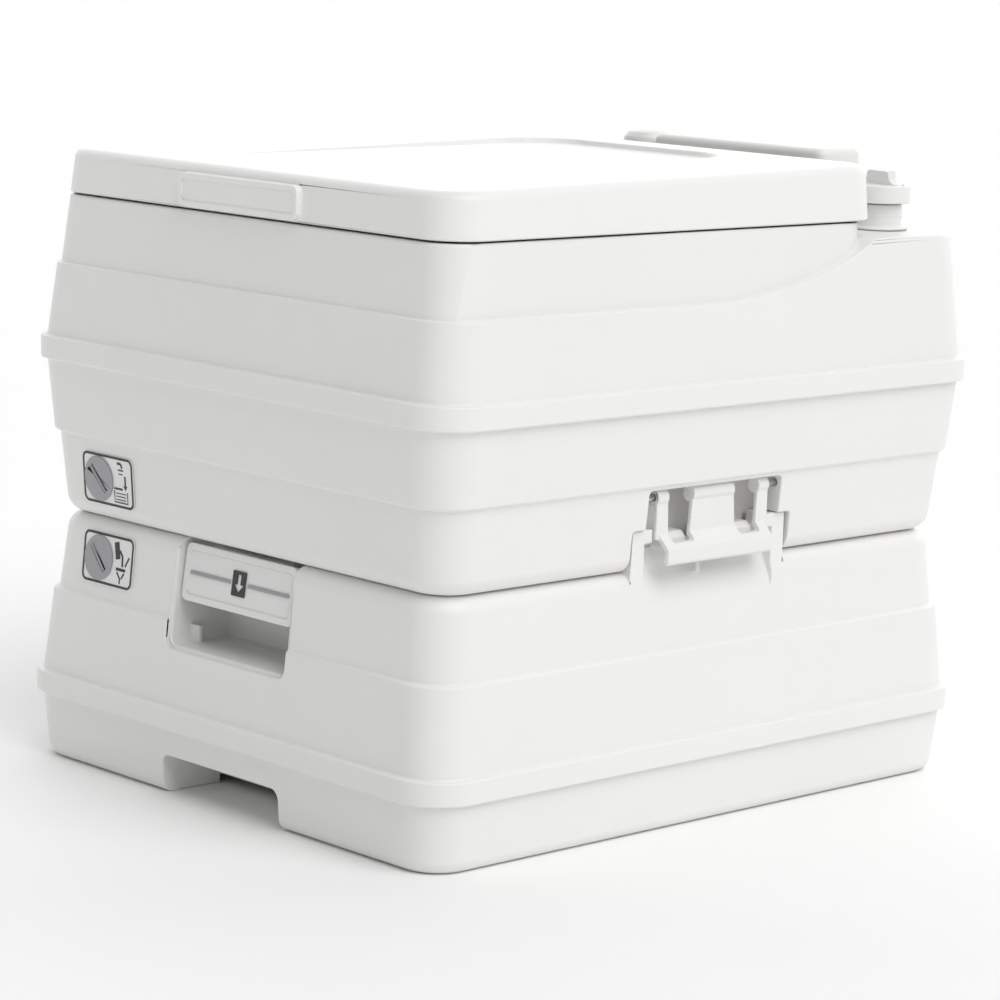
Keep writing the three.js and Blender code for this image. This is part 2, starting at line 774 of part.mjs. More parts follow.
function pumpCup() {
  const bottom = DECK - 58;
  return turned([
    [3, bottom],
    [pump.cup, bottom],
    [pump.cup, DECK - WALL - GAP],
    [pump.cup - 2.5, DECK - WALL - GAP],
    [pump.cup - 2.5, bottom + 2.5],
    [3, bottom + 2.5],
    [3, bottom],
  ]);
}

function pumpBellows() {
  const bottom = DECK - 55;
  const top = DECK - 7 - GAP;
  const folds = 4;
  const pitch = (top - bottom) / folds;
  const outside = Array.from({ length: folds }, (_, i) => [
    [pump.bellows - 3, bottom + i * pitch],
    [pump.bellows, bottom + (i + 0.5) * pitch],
  ]).flat();
  const inside = outside.map(([radius, z]) => [radius - 1.2, z]).reverse();
  return turned([
    [3, bottom],
    ...outside,
    [pump.bellows - 3, top],
    [0, top],
    [0, top - 1.5],
    [pump.bellows - 4.2, top - 1.5],
    ...inside.slice(0, -1),
    [pump.bellows - 4.2, bottom + 1.2],
    [3, bottom + 1.2],
    [3, bottom],
  ], 16);
}

function pumpTube() {
  return tube(1.8, 2.7, TANK_SPLIT + WALL + 8, DECK - 56, 12);
}

function flushNozzle() {
  return box(-11, 11, 0, 7, -6, 0).subtract(box(-8, 8, -1, 5, -4, -2));
}

// ---------------------------------------------------------------- seat, lid and hinges
function hingeBracket(side) {
  const { y, z, ears, ear, knuckle } = hinge;
  const base = sideBox(side, ears[0] - 6, ears[1] + ear + 6, y - 8, y + 14, DECK + GAP, DECK + 4);
  const cheeks = ears.map((x) => {
    const profile = shapeOf([
      [y - 8, DECK + 3],
      [y - 7, z - 2],
      [y - 4, z + 4],
      [y, z + knuckle],
      [y + 4, z + 4],
      [y + 8, z - 4],
      [y + 14, DECK + 3],
    ]);
    return acrossX(profile, Math.min(side * x, side * (x + ear)), Math.max(side * x, side * (x + ear)));
  });
  const holes = alongX(hinge.pin + GAP, y, z, -200, 200, 12);
  return union([base, ...cheeks]).subtract(holes);
}

function hingePin(side) {
  const { y, z, pin, ears, ear } = hinge;
  const ends = [side * (ears[0] + 1), side * (ears[1] + ear - 1)].sort((a, b) => a - b);
  return alongX(pin, y, z, ends[0], ends[1], 12);
}

function hingeArm(side, x, frontY) {
  const { y, z, knuckle, arm } = hinge;
  const ends = [side * x, side * (x + arm)].sort((a, b) => a - b);
  const eye = alongX(knuckle, y, z, ends[0], ends[1], 16);
  const bar = box(ends[0], ends[1], frontY, y, z - knuckle, z + 2);
  const hole = alongX(hinge.pin + GAP, y, z, ends[0] - 1, ends[1] + 1, 12);
  return { bar: eye.add(bar), hole };
}

function seat() {
  const outer = (inset, z) => ({
    halfX: seatRing.halfX - inset,
    halfY: seatRing.halfY - inset,
    radius: seatRing.radius - inset,
    y: seatRing.y,
    z,
  });
  const inner = (inset, z) => ({
    halfX: seatHole.halfX + inset,
    halfY: seatHole.halfY + inset,
    radius: seatHole.radius + inset,
    y: seatHole.y,
    z,
  });
  const { bottom, top } = seatRing;
  const ring = loft(
    [
      outer(0, bottom),
      outer(0, top - 6),
      outer(1.8, top - 2),
      outer(6, top),
      inner(8, top),
      inner(2, top - 3),
      inner(0, top - 7),
      inner(0, bottom),
      inner(WALL, bottom),
      inner(WALL, top - 7.5),
      inner(9, top - WALL),
      outer(7, top - WALL),
      outer(WALL, top - 7),
      outer(WALL, bottom),
    ],
    true,
  );
  const arms = sides.map(({ side }) => hingeArm(side, hinge.seat, seatRing.y + seatRing.halfY - 4));
  return union([ring, ...arms.map((arm) => arm.bar)]).subtract(union(arms.map((arm) => arm.hole)));
}

function lidSection(z, inset, tilt = 1) {
  const lean = DRAFT * (z - lid.bottom) + inset;
  return {
    halfX: lid.halfX - lean,
    halfY: lid.halfY - lean,
    radius: CORNER_RADIUS - inset,
    y: lid.y,
    z,
    lift: (y) => (tilt * lid.rise * (y - lid.y + lid.halfY)) / (2 * lid.halfY),
  };
}

function lidTopAt(y) {
  return lid.frontTop + (lid.rise * (y - lid.y + lid.halfY)) / (2 * lid.halfY);
}

function lidPanel() {
  const { frontTop, edge, roof, bottom } = lid;
  const outer = loft([
    lidSection(bottom, 0, 0),
    ...fillet(edge, 3, (inset, drop) => lidSection(frontTop - drop, inset)).reverse(),
  ]);
  const cavity = loft([
    lidSection(bottom - 1, WALL, 0),
    lidSection(frontTop - roof - 3, WALL),
    lidSection(frontTop - roof, WALL + 2.5),
  ]);
  const length = dish.rear - dish.front;
  const basin = loft([
    { halfX: dish.halfX, halfY: length / 2, radius: dish.radius, y: dish.rear - length / 2, z: bottom },
    { halfX: dish.halfX, halfY: length / 2, radius: dish.radius, y: dish.rear - length / 2, z: frontTop + 20 },
  ]);
  const wedge = acrossX(
    shapeOf([
      [dish.front, lidTopAt(dish.front)],
      [dish.rear, lidTopAt(dish.rear) - dish.depth],
      [dish.rear, frontTop + 20],
      [dish.front, frontTop + 20],
    ]),
    -dish.halfX,
    dish.halfX,
  );
  const face = lid.y - lid.halfY - grip.proud;
  const height = grip.top - grip.bottom;
  const panel = acrossY(
    moved(roundedShape(grip.halfX, height / 2, 4), 0, grip.bottom + height / 2),
    face,
    face + grip.proud + 4,
  );
  const field = acrossY(
    moved(roundedShape(grip.halfX - grip.frame, height / 2 - grip.frame, 2.5), 0, grip.bottom + height / 2),
    face - 1,
    face + 0.9,
  );
  const arms = sides.map(({ side }) => hingeArm(side, hinge.lid, lid.y + lid.halfY - 4));
  const seatWays = sides.map(({ side }) =>
    sideBox(side, hinge.seat - 0.8, hinge.seat + hinge.arm + 0.1, 112, 134, lid.bottom - 5, hinge.z + 7.6),
  );
  const cheekWays = sides.flatMap(({ side }) =>
    hinge.ears.map((x) => sideBox(side, x - 0.8, x + hinge.ear + 0.1, 128.2, 134, lid.bottom - 5, hinge.z + 7.6)),
  );
  return outer
    .subtract(cavity)
    .add(panel)
    .subtract(field)
    .subtract(basin.intersect(wedge))
    .add(union(arms.map((arm) => arm.bar)))
    .subtract(union([...seatWays, ...cheekWays, ...arms.map((arm) => arm.hole)]));
}

function bumper(z0, z1) {
  return turned([
    [0, z0],
    [5, z0],
    [6, z0 + 0.8],
    [6, z1],
    [0, z1],
  ], 16);
}

// ---------------------------------------------------------------- side latches
function latchFrame(side) {
  const { x, z, halfY, web, arm, face, knuckle } = latch;
  const plate = sideBox(side, x + 0.8, face, -halfY, halfY, latchBar.root - 1, z + 3);
  const eye = alongY(knuckle, side * x, z, -halfY, halfY, 16);
  const { bottom, top, front, thick, root } = latchBar;
  const bar = shapeOf([
    [side * face, root + 2],
    [side * (front - 1.4), top + 3.2],
    [side * front, top],
    [side * front, bottom + 1.5],
    [side * (front - 1.2), bottom],
    [side * (front - thick), bottom],
    [side * (front - thick), top],
    [side * (front - thick - 1), top + 1.6],
    [side * (x + 0.8), root],
    [side * (x + 0.8), root + 2],
  ]);
  const windows = [-1, 1].map((way) => {
    const [y0, y1] = way > 0 ? [web, arm] : [-arm, -web];
    return sideBox(side, x - 10, front + 1, y0, y1, latchBar.window, z + 10);
  });
  const pinHoles = [-1, 1].map((way) => {
    const ends = [way * (arm + 0.8), way * (halfY + 1)].sort((a, b) => a - b);
    return alongY(latch.pin + GAP, side * x, z, ends[0], ends[1], 12);
  });
  return union([plate, eye, acrossY(bar, -halfY + 2, halfY - 2)])
    .subtract(union(windows))
    .subtract(union(pinHoles));
}

function latchPin(side, way) {
  const ends = [way * (latch.arm + 1.5), way * (cutOut.halfY + 1.5)].sort((a, b) => a - b);
  return alongY(latch.pin, side * latch.x, latch.z, ends[0], ends[1], 12);
}

// ---------------------------------------------------------------- badges
function badgePlate() {
  const { halfX, halfZ, radius, thick, lensX, lens } = badge;
  const plate = acrossY(roundedShape(halfX, halfZ, radius), -thick, 0);
  return plate.subtract(alongY(lens - 0.6, lensX, 0, -thick - 1, 1));
}

function badgeLens() {
  return turned([
    [0, 0],
    [badge.lens - 0.9, 0],
    [badge.lens - 0.9, badge.thick + 0.3],
    [badge.lens - 2, badge.thick + 0.8],
    [0, badge.thick + 0.9],
  ]);
}

function badgePair(word, z, lean) {
  const group = new THREE.Group();
  const plate = part(word + "_badge", badgePlate(), whitePlastic);
  const disc = part(word + "_level_lens", badgeLens(), greyPlastic);
  disc.rotation.x = Math.PI / 2;
  disc.position.set(badge.lensX, 0, 0);
  group.add(plate, disc);
  group.rotation.x = lean;
  group.position.set(badge.x, frontAt(z) - 0.35, z);
  return group;
}

// ---------------------------------------------------------------- assembly
const toilet = new THREE.Group();
toilet.name = "portable_toilet";
toilet.add(
  part("waste_tank_bottom", wasteBottomShell(), whitePlastic),
  part("waste_tank_top", wasteTopShell(), whitePlastic),
  part("valve_body", valveBody(), shadePlastic),
  part("valve_seal", valveSeal(), blackRubber),
  part("valve_blade", valveBlade(), shadePlastic),
);

const valveGrip = new THREE.Group();
const handlePrint = new THREE.Group();
handlePrint.add(
  part("handle_mark", handleMark(), darkPrint),
  part("handle_stripe_left", handleStripe(), greyPlastic),
  at(part("handle_stripe_right", handleStripe(), greyPlastic), handle.halfX + 2, 0, 0),
);
handlePrint.rotation.x = -handle.lean;
valveGrip.add(part("valve_handle", valveHandle(), whitePlastic), handlePrint);
valveGrip.position.set(0, handle.front, (handle.bottom + handle.top) / 2);
toilet.add(valveGrip);

const spoutGroup = new THREE.Group();
spoutGroup.add(
  part("spout_neck", spoutNeck(), whitePlastic),
  part("spout_cap", spoutCap(), greyPlastic),
);
spoutGroup.rotation.x = -Math.PI / 2;
spoutGroup.position.set(spout.x, bay.front, spout.z);
toilet.add(spoutGroup);

const ventGroup = new THREE.Group();
ventGroup.add(part("vent_button", ventButton(), greyPlastic));
ventGroup.rotation.x = -Math.PI / 2;
ventGroup.position.set(vent.x, bay.front, vent.z);
toilet.add(ventGroup);

toilet.add(
  part("flush_tank_bottom", flushBottomShell(), whitePlastic),
  part("flush_tank_top", flushTopShell(), whitePlastic),
  part("bowl", bowl(), whitePlastic),
  at(part("flush_nozzle", flushNozzle(), shadePlastic), 0, 72, PEDESTAL_TOP - 6),
  at(part("fill_neck", fillNeck(), whitePlastic), fill.x, fill.y, 0),
  at(part("fill_cap", fillCap(), whitePlastic), fill.x, fill.y, 0),
  at(part("fill_cap_seal", fillCapSeal(), blackRubber), fill.x, fill.y, 0),
  part("pump_housing", pumpHousing(), whitePlastic),
  at(part("pump_knob", pumpKnob(), whitePlastic), pump.x, pump.y, 0),
  at(part("pump_stem", pumpStem(), shadePlastic), pump.x, pump.y, 0),
  at(part("pump_cup", pumpCup(), shadePlastic), pump.x, pump.y, 0),
  at(part("pump_bellows", pumpBellows(), blackRubber), pump.x, pump.y, 0),
  at(part("pump_tube", pumpTube(), clearHose), pump.x, pump.y, 0),
  part("seat", seat(), whitePlastic),
  part("lid", lidPanel(), whitePlastic),
);

sides.forEach(({ side, word }) => {
  toilet.add(
    part("hinge_bracket_" + word, hingeBracket(side), whitePlastic),
    part("hinge_pin_" + word, hingePin(side), stainless),
    part("latch_" + word, latchFrame(side), whitePlastic),
  );
  [-1, 1].forEach((way) => {
    const end = way < 0 ? "front" : "rear";
    toilet.add(part("latch_pin_" + end + "_" + word, latchPin(side, way), stainless));
    const seatFoot = part("seat_bumper_" + end + "_" + word, bumper(0, 4.2), blackRubber);
    toilet.add(at(seatFoot, side * 140, seatRing.y + way * 95, PEDESTAL_TOP + 1));
  });
});

toilet.add(badgePair("flush", UPPER_BADGE_Z, LEAN), badgePair("waste", LOWER_BADGE_Z, -LEAN));

export default toilet;
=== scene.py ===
import json
import math

import bmesh
import bpy
from mathutils import Matrix, Vector


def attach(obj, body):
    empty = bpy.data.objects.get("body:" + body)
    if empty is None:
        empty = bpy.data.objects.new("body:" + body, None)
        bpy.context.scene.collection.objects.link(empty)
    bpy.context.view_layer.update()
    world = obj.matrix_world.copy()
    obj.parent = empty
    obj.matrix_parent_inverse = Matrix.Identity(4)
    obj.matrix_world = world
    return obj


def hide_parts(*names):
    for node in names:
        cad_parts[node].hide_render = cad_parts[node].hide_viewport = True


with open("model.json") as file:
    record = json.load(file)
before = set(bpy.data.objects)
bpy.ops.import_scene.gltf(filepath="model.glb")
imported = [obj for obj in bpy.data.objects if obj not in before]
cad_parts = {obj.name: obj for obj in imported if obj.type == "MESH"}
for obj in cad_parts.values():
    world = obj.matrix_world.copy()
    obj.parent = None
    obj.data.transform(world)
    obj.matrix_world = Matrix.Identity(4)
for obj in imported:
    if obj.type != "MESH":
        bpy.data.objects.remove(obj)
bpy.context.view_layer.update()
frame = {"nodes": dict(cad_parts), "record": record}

# ---------------------------------------------------------------- sizes, in millimetres
BODY_HALF_WIDTH = 175.4
EXTRA_HALF_DEPTH = 31.0
CORNER_RADIUS = 24.0
DRAFT = 0.083
STEP = 2.4
FLANGE_LIP = 3.8
WALL = 3.0
GAP = 0.3
CORNER_STEPS = 14

BASE_FLANGE, BASE_FLANGE_TOP = 38.0, 51.0
LOWER_STEP = 98.7
TANK_SPLIT = 143.4
UPPER_STEP = 189.8
TOP_FLANGE, TOP_FLANGE_TOP = 231.0, 244.0
PEDESTAL_STEP = 285.5
DECK = 315.0
PEDESTAL_TOP = 324.0
PEDESTAL_REAR = 128.0
LEAN = math.atan(DRAFT)


# ---------------------------------------------------------------- solids, in millimetres
def mesh_of(vertices, faces):
    mesh = bpy.data.meshes.new("work")
    mesh.from_pydata([tuple(v) for v in vertices], [], faces)
    work = bmesh.new()
    work.from_mesh(mesh)
    bmesh.ops.remove_doubles(work, verts=work.verts, dist=1e-4)
    bmesh.ops.recalc_face_normals(work, faces=work.faces)
    work.to_mesh(mesh)
    work.free()
    return mesh


def boolean(a, b, operation):
    objects = []
    for mesh in (a, b):
        obj = bpy.data.objects.new("work", mesh)
        bpy.context.scene.collection.objects.link(obj)
        objects.append(obj)
    modifier = objects[0].modifiers.new("boolean", "BOOLEAN")
    modifier.operation = operation
    modifier.solver = "MANIFOLD"
    modifier.object = objects[1]
    graph = bpy.context.evaluated_depsgraph_get()
    graph.update()
    made = bpy.data.meshes.new_from_object(objects[0].evaluated_get(graph))
    for obj in objects:
        bpy.data.objects.remove(obj)
    if not made.polygons and operation != "INTERSECT":
        raise RuntimeError("a boolean came out empty")
    return made


def cut(a, *others):
    for other in others:
        a = boolean(a, other, "DIFFERENCE")
    return a


def join(a, *others):
    for other in others:
        a = boolean(a, other, "UNION")
    return a


def common(a, b):
    return boolean(a, b, "INTERSECT")


def loop(sec):
    half_x, half_y, radius, z = sec["x"], sec["y"], max(sec["r"], 0.3), sec["z"]
    middle = sec.get("cy", 0.0)
    offset = sec.get("cx", 0.0)
    lift = sec.get("lift", lambda y: 0.0)
    points = []
    for corner, (sx, sy) in enumerate(((1, 1), (-1, 1), (-1, -1), (1, -1))):
        for i in range(CORNER_STEPS + 1):
            angle = (corner + i / CORNER_STEPS) * math.pi / 2
            x = offset + sx * (half_x - radius) + radius * math.cos(angle)
            y = middle + sy * (half_y - radius) + radius * math.sin(angle)
            points.append((x, y, z + lift(y)))
    return points


def loft(sections, closed=False):
    return skin([loop(sec) for sec in sections], closed)


def skin(loops, closed=False):
    count = len(loops[0])
    vertices = [p for ring in loops for p in ring]
    faces = []
    for k in range(len(loops) if closed else len(loops) - 1):
        low, high = k * count, ((k + 1) % len(loops)) * count
        for i in range(count):
            j = (i + 1) % count
            faces.append((low + i, low + j, high + j, high + i))
    if not closed:
        faces.append(tuple(reversed(range(count))))
        faces.append(tuple(range((len(loops) - 1) * count, len(loops) * count)))
    return mesh_of(vertices, faces)


def prism(points, low, high, place):
    count = len(points)
    vertices = [place(u, v, low) for u, v in points] + [place(u, v, high) for u, v in points]
    faces = [(i, (i + 1) % count, count + (i + 1) % count, count + i) for i in range(count)]
    faces += [tuple(range(count)), tuple(range(count, 2 * count))]
    return mesh_of(vertices, faces)


def across_x(points, low, high):
    return prism(points, low, high, lambda u, v, w: (w, u, v))


def across_y(points, low, high):
    return prism(points, low, high, lambda u, v, w: (u, w, v))


def across_z(points, low, high):
    return prism(points, low, high, lambda u, v, w: (u, v, w))


def box(x0, x1, y0, y1, z0, z1):
    return across_z([(x0, y0), (x1, y0), (x1, y1), (x0, y1)], z0, z1)


def side_box(side, x0, x1, y0, y1, z0, z1):
    return box(min(side * x0, side * x1), max(side * x0, side * x1), y0, y1, z0, z1)


def ring_points(radius, u=0.0, v=0.0, count=64):
    return [
        (u + radius * math.cos(2 * math.pi * i / count), v + radius * math.sin(2 * math.pi * i / count))
        for i in range(count)
    ]


def upright(radius, x, y, low, high, count=64):
    return across_z(ring_points(radius, x, y, count), low, high)


def along_x(radius, y, z, low, high, count=48):
    return across_x(ring_points(radius, y, z, count), low, high)


def along_y(radius, x, z, low, high, count=64):
    return across_y(ring_points(radius, x, z, count), low, high)


def rounded(half_u, half_v, radius, u=0.0, v=0.0, steps=10):
    points = []
    for corner, (su, sv) in enumerate(((1, 1), (-1, 1), (-1, -1), (1, -1))):
        for i in range(steps + 1):
            angle = (corner + i / steps) * math.pi / 2
            points.append((
                u + su * (half_u - radius) + radius * math.cos(angle),
                v + sv * (half_v - radius) + radius * math.sin(angle),
            ))
    return points


def turned(profile, count=72):
    """A solid of revolution about Z; the profile runs from axis to axis or closes on itself."""
    vertices, rings = [], []
    for radius, z in profile:
        if radius < 1e-6:
            rings.append([len(vertices)])
            vertices.append((0.0, 0.0, z))
        else:
            rings.append(list(range(len(vertices), len(vertices) + count)))
            vertices += [
                (radius * math.cos(2 * math.pi * i / count), radius * math.sin(2 * math.pi * i / count), z)
                for i in range(count)
            ]
    faces = []
    for a, b in zip(rings, rings[1:]):
        for i in range(count):
            j = (i + 1) % count
            if len(a) == 1 and len(b) > 1:
                faces.append((a[0], b[i], b[j]))
            elif len(b) == 1 and len(a) > 1:
                faces.append((a[i], a[j], b[0]))
            elif len(a) > 1:
                faces.append((a[i], a[j], b[j], b[i]))
    return mesh_of(vertices, faces)


def placed(mesh, matrix):
    mesh.transform(matrix)
    return mesh


def shifted(mesh, x, y, z):
    return placed(mesh, Matrix.Translation((x, y, z)))


def arc(cu, cv, radius, start, end, steps=8):
    return [
        (
            cu + radius * math.cos(math.radians(start + (end - start) * i / steps)),
            cv + radius * math.sin(math.radians(start + (end - start) * i / steps)),
        )
        for i in range(steps + 1)
    ]


def spline(a, b, c, d, t):
    """The smooth curve through b and c, at t of the way from one to the other."""
    return 0.5 * (2 * b + (c - a) * t + (2 * a - 5 * b + 4 * c - d) * t * t
                  + (3 * b - a - 3 * c + d) * t ** 3)


def fillet(radius, steps, section):
    out = []
    for i in range(steps + 1):
        angle = i / steps * math.pi / 2
        out.append(section(radius * (1 - math.sin(angle)), radius * (1 - math.cos(angle))))
    return out


# ---------------------------------------------------------------- the shared outline
def half_width_at(z):
    if z <= BASE_FLANGE:
        return BODY_HALF_WIDTH - DRAFT * (BASE_FLANGE - z)
    if z < BASE_FLANGE_TOP:
        return BODY_HALF_WIDTH
    if z < TANK_SPLIT:
        return BODY_HALF_WIDTH - DRAFT * (z - BASE_FLANGE_TOP) - (STEP if z > LOWER_STEP else 0)
    if z < TOP_FLANGE:
        return BODY_HALF_WIDTH - DRAFT * (TOP_FLANGE - z) - (STEP if z < UPPER_STEP else 0)
    if z <= TOP_FLANGE_TOP:
        return BODY_HALF_WIDTH
    return BODY_HALF_WIDTH - DRAFT * (z - TOP_FLANGE_TOP)


def outline(z, inset=0.0, at=None):
    half = half_width_at(z) - inset
    return {
        "x": half,
        "y": half + EXTRA_HALF_DEPTH,
        "r": max(CORNER_RADIUS - inset, 2.0),
        "z": z if at is None else at,
    }


def step_sections(z, way):
    """A soft ledge at z: the wall runs in above it (way 1) or below it (way -1)."""
    out = []
    for i in range(7):
        share = i / 6
        ease = share * share * (3 - 2 * share)
        if way < 0:
            ease = 1 - ease
        half = half_width_at(z - 1.4 * way) - STEP * ease
        out.append({"x": half, "y": half + EXTRA_HALF_DEPTH, "r": CORNER_RADIUS, "z": z - 1.2 + 2.4 * share})
    return out


def flange_band(bottom, top):
    edge = 1.3
    out = []
    for i in range(6):
        angle = i / 5 * math.pi / 2
        proud = FLANGE_LIP - edge * (1 - math.sin(angle))
        out.append(outline(bottom, -proud, bottom + edge * (1 - math.cos(angle))))
    for i in range(6):
        angle = i / 5 * math.pi / 2
        proud = FLANGE_LIP - edge * (1 - math.cos(angle))
        out.append(outline(bottom, -proud, top - edge * (1 - math.sin(angle))))
    out.append(outline(top, -0.9))
    out.append(outline(top, -0.25, top + 0.35))
    out.append(outline(top, 0.0, top + 1.1))
    return out


def socket(bottom):
    return [
        outline(bottom, -GAP, bottom - 1),
        outline(bottom, -GAP, bottom + 9),
        outline(bottom + 14, WALL),
    ]


def hollowed(outer, cavity, walls, pockets):
    for wall in walls:
        cavity = cut(cavity, wall)
    return cut(cut(outer, cavity), *pockets)


def slot_points(half, start, end, radius):
    """A slot from an open side to an end with rounded corners, in the X-Z plane."""
    way = 1 if end > start else -1
    right = [(half - radius + radius * math.cos(t), end - way * radius * (1 - math.sin(t))) for t in
             [i / 10 * math.pi / 2 for i in range(11)]]
    left = [(-x, z) for x, z in reversed(right)]
    return [(half, start)] + right + left + [(-half, start)]


# ---------------------------------------------------------------- materials
def node_material(name, colour, rough, grain=0.0, grain_scale=1800.0, variation=0.03, coat=0.0, ior=1.49,
                  metallic=0.0, transmission=0.0, soft=0.0, wave=0.0):
    material = bpy.data.materials.new(name)
    material.use_nodes = True
    nodes, links = material.node_tree.nodes, material.node_tree.links
    shader = nodes["Principled BSDF"]
    shader.inputs["Metallic"].default_value = metallic
    shader.inputs["IOR"].default_value = ior
    shader.inputs["Coat Weight"].default_value = coat
    shader.inputs["Coat Roughness"].default_value = 0.12
    shader.inputs["Transmission Weight"].default_value = transmission
    if soft:
        shader.inputs["Subsurface Weight"].default_value = soft
        shader.inputs["Subsurface Radius"].default_value = (1.0, 0.95, 0.85)
        shader.inputs["Subsurface Scale"].default_value = 0.003
    place = nodes.new("ShaderNodeTexCoord")
    broad = nodes.new("ShaderNodeTexNoise")
    broad.inputs["Scale"].default_value = 9.0
    broad.inputs["Detail"].default_value = 5.0
    broad.inputs["Roughness"].default_value = 0.6
    links.new(place.outputs["Object"], broad.inputs["Vector"])
    ramp = nodes.new("ShaderNodeValToRGB")
    ramp.color_ramp.elements[0].position = 0.3
    ramp.color_ramp.elements[1].position = 0.72
    dark = [c * (1 - variation) for c in colour]
    ramp.color_ramp.elements[0].color = (*dark, 1)
    ramp.color_ramp.elements[1].color = (*colour, 1)
    links.new(broad.outputs["Fac"], ramp.inputs["Fac"])
    links.new(ramp.outputs["Color"], shader.inputs["Base Color"])
    patch = nodes.new("ShaderNodeTexNoise")
    patch.inputs["Scale"].default_value = 45.0
    patch.inputs["Detail"].default_value = 6.0
    links.new(place.outputs["Object"], patch.inputs["Vector"])
    spread = nodes.new("ShaderNodeMapRange")
    spread.inputs["To Min"].default_value = max(rough - 0.06, 0.02)
    spread.inputs["To Max"].default_value = rough + 0.08
    links.new(patch.outputs["Fac"], spread.inputs["Value"])
    links.new(spread.outputs["Result"], shader.inputs["Roughness"])
    fine = nodes.new("ShaderNodeTexNoise")
    fine.inputs["Scale"].default_value = grain_scale
    fine.inputs["Detail"].default_value = 3.0
    links.new(place.outputs["Object"], fine.inputs["Vector"])
    bump = nodes.new("ShaderNodeBump")
    bump.inputs["Strength"].default_value = grain
    bump.inputs["Distance"].default_value = 0.0002
    links.new(fine.outputs["Fac"], bump.inputs["Height"])
    if wave:
        ripple = nodes.new("ShaderNodeTexNoise")
        ripple.inputs["Scale"].default_value = 14.0
        ripple.inputs["Detail"].default_value = 1.0
        links.new(place.outputs["Object"], ripple.inputs["Vector"])
        swell = nodes.new("ShaderNodeBump")
        swell.inputs["Strength"].default_value = wave
        swell.inputs["Distance"].default_value = 0.002
        links.new(ripple.outputs["Fac"], swell.inputs["Height"])
        links.new(swell.outputs["Normal"], bump.inputs["Normal"])
    links.new(bump.outputs["Normal"], shader.inputs["Normal"])
    return material


MATERIALS = {
    "tank_white": node_material("tank_white", (0.86, 0.855, 0.835), 0.36, 0.12, 1500, 0.02,
                                soft=0.06, wave=0.1),
    "seat_white": node_material("seat_white", (0.88, 0.877, 0.862), 0.34, 0.05, 1500, 0.015,
                                soft=0.05, wave=0.03),
    "trim_white": node_material("trim_white", (0.85, 0.847, 0.835), 0.33, 0.15, 1900, 0.02, 0.1, soft=0.04),
    "pale_grey": node_material("pale_grey", (0.55, 0.56, 0.565), 0.42, 0.25, 1900, 0.06),
    "mid_grey": node_material("mid_grey", (0.38, 0.375, 0.39), 0.4, 0.2, 1900, 0.06),
    "black_rubber": node_material("black_rubber", (0.025, 0.025, 0.027), 0.72, 0.5, 1200, 0.2),
    "dark_print": node_material("dark_print", (0.045, 0.047, 0.05), 0.5, 0.15, 2500, 0.12),
    "clear_hose": node_material("clear_hose", (0.7, 0.73, 0.73), 0.16, 0.05, 1500, 0.03, transmission=0.6),
    "pin_steel": node_material("pin_steel", (0.56, 0.57, 0.58), 0.26, 0.2, 2600, 0.05, metallic=1.0),
}
for entry in frame["record"]["subparts"]:
    obj = frame["nodes"][entry["node"]]
    obj.data.materials.clear()
    obj.data.materials.append(MATERIALS[entry["material_slot"]])


# ---------------------------------------------------------------- pieces
def piece(name, mesh, body, slot, stands_for=(), bevel=0.8, segments=3, limit=32.0):
    mesh.transform(Matrix.Scale(0.001, 4))
    work = bmesh.new()
    work.from_mesh(mesh)
    bmesh.ops.remove_doubles(work, verts=work.verts, dist=2e-6)
    bmesh.ops.dissolve_limit(work, angle_limit=math.radians(0.25), verts=work.verts, edges=work.edges)
    for face in work.faces:
        face.smooth = True
    work.to_mesh(mesh)
    work.free()
    mesh.name = name
    mesh.materials.clear()
    mesh.materials.append(MATERIALS[slot])
    obj = bpy.data.objects.new(name, mesh)
    bpy.context.scene.collection.objects.link(obj)
    if bevel:
        edge = obj.modifiers.new("edge", "BEVEL")
        edge.width = bevel * 0.001
        edge.segments = segments
        edge.limit_method = "ANGLE"
        edge.angle_limit = math.radians(limit)
        edge.use_clamp_overlap = False
        edge.harden_normals = True
    smooth = obj.modifiers.new("normals", "WEIGHTED_NORMAL")
    smooth.keep_sharp = True
    if stands_for:
        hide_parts(*stands_for)
    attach(obj, body)
    return obj


# ---------------------------------------------------------------- waste tank
NOTCH = {"half": 50, "rear": -162, "roof": 22.6, "radius": 6}
RECESS = {"half": 49.2, "bottom": 84.5, "rear": -161, "radius": 4, "rim": 1.9}
STOP_TAB = {"reach": 7.7, "front": -186.5, "rear": -183.5, "top": 94}
TROUGH = {"half": 62, "front": -158, "rear": 64, "floor": 131}
BAY = {"x0": -150, "x1": -70, "front": 172, "bottom": 66, "top": 136, "radius": 6}
SPOUT = {"x": -116, "z": 103, "outer": 23}
KEEPER = {
    "inner": 150, "outer": 165.2, "back": 154, "top": 165.8,
    "half": 60, "leg": 50, "ledge": 44.2, "ledge_z": 158.3,
}
LATCH_X, LATCH_Z = 163.5, 182.7
VALVE_PULL = {"half": 47.5, "bottom": 109.2, "top": 141.3, "front": -193.6, "thick": 3.4, "lean": 0.13}
VALVE_PULL_Z = (VALVE_PULL["bottom"] + VALVE_PULL["top"]) / 2
BLADE_Z = 135.8
FILL_X, FILL_Y = 127, 172
PUMP_X, PUMP_Y = -65, 178
PEDESTAL_END = {"half": 165.5, "front": -240, "radius": 30}
BORE = 46


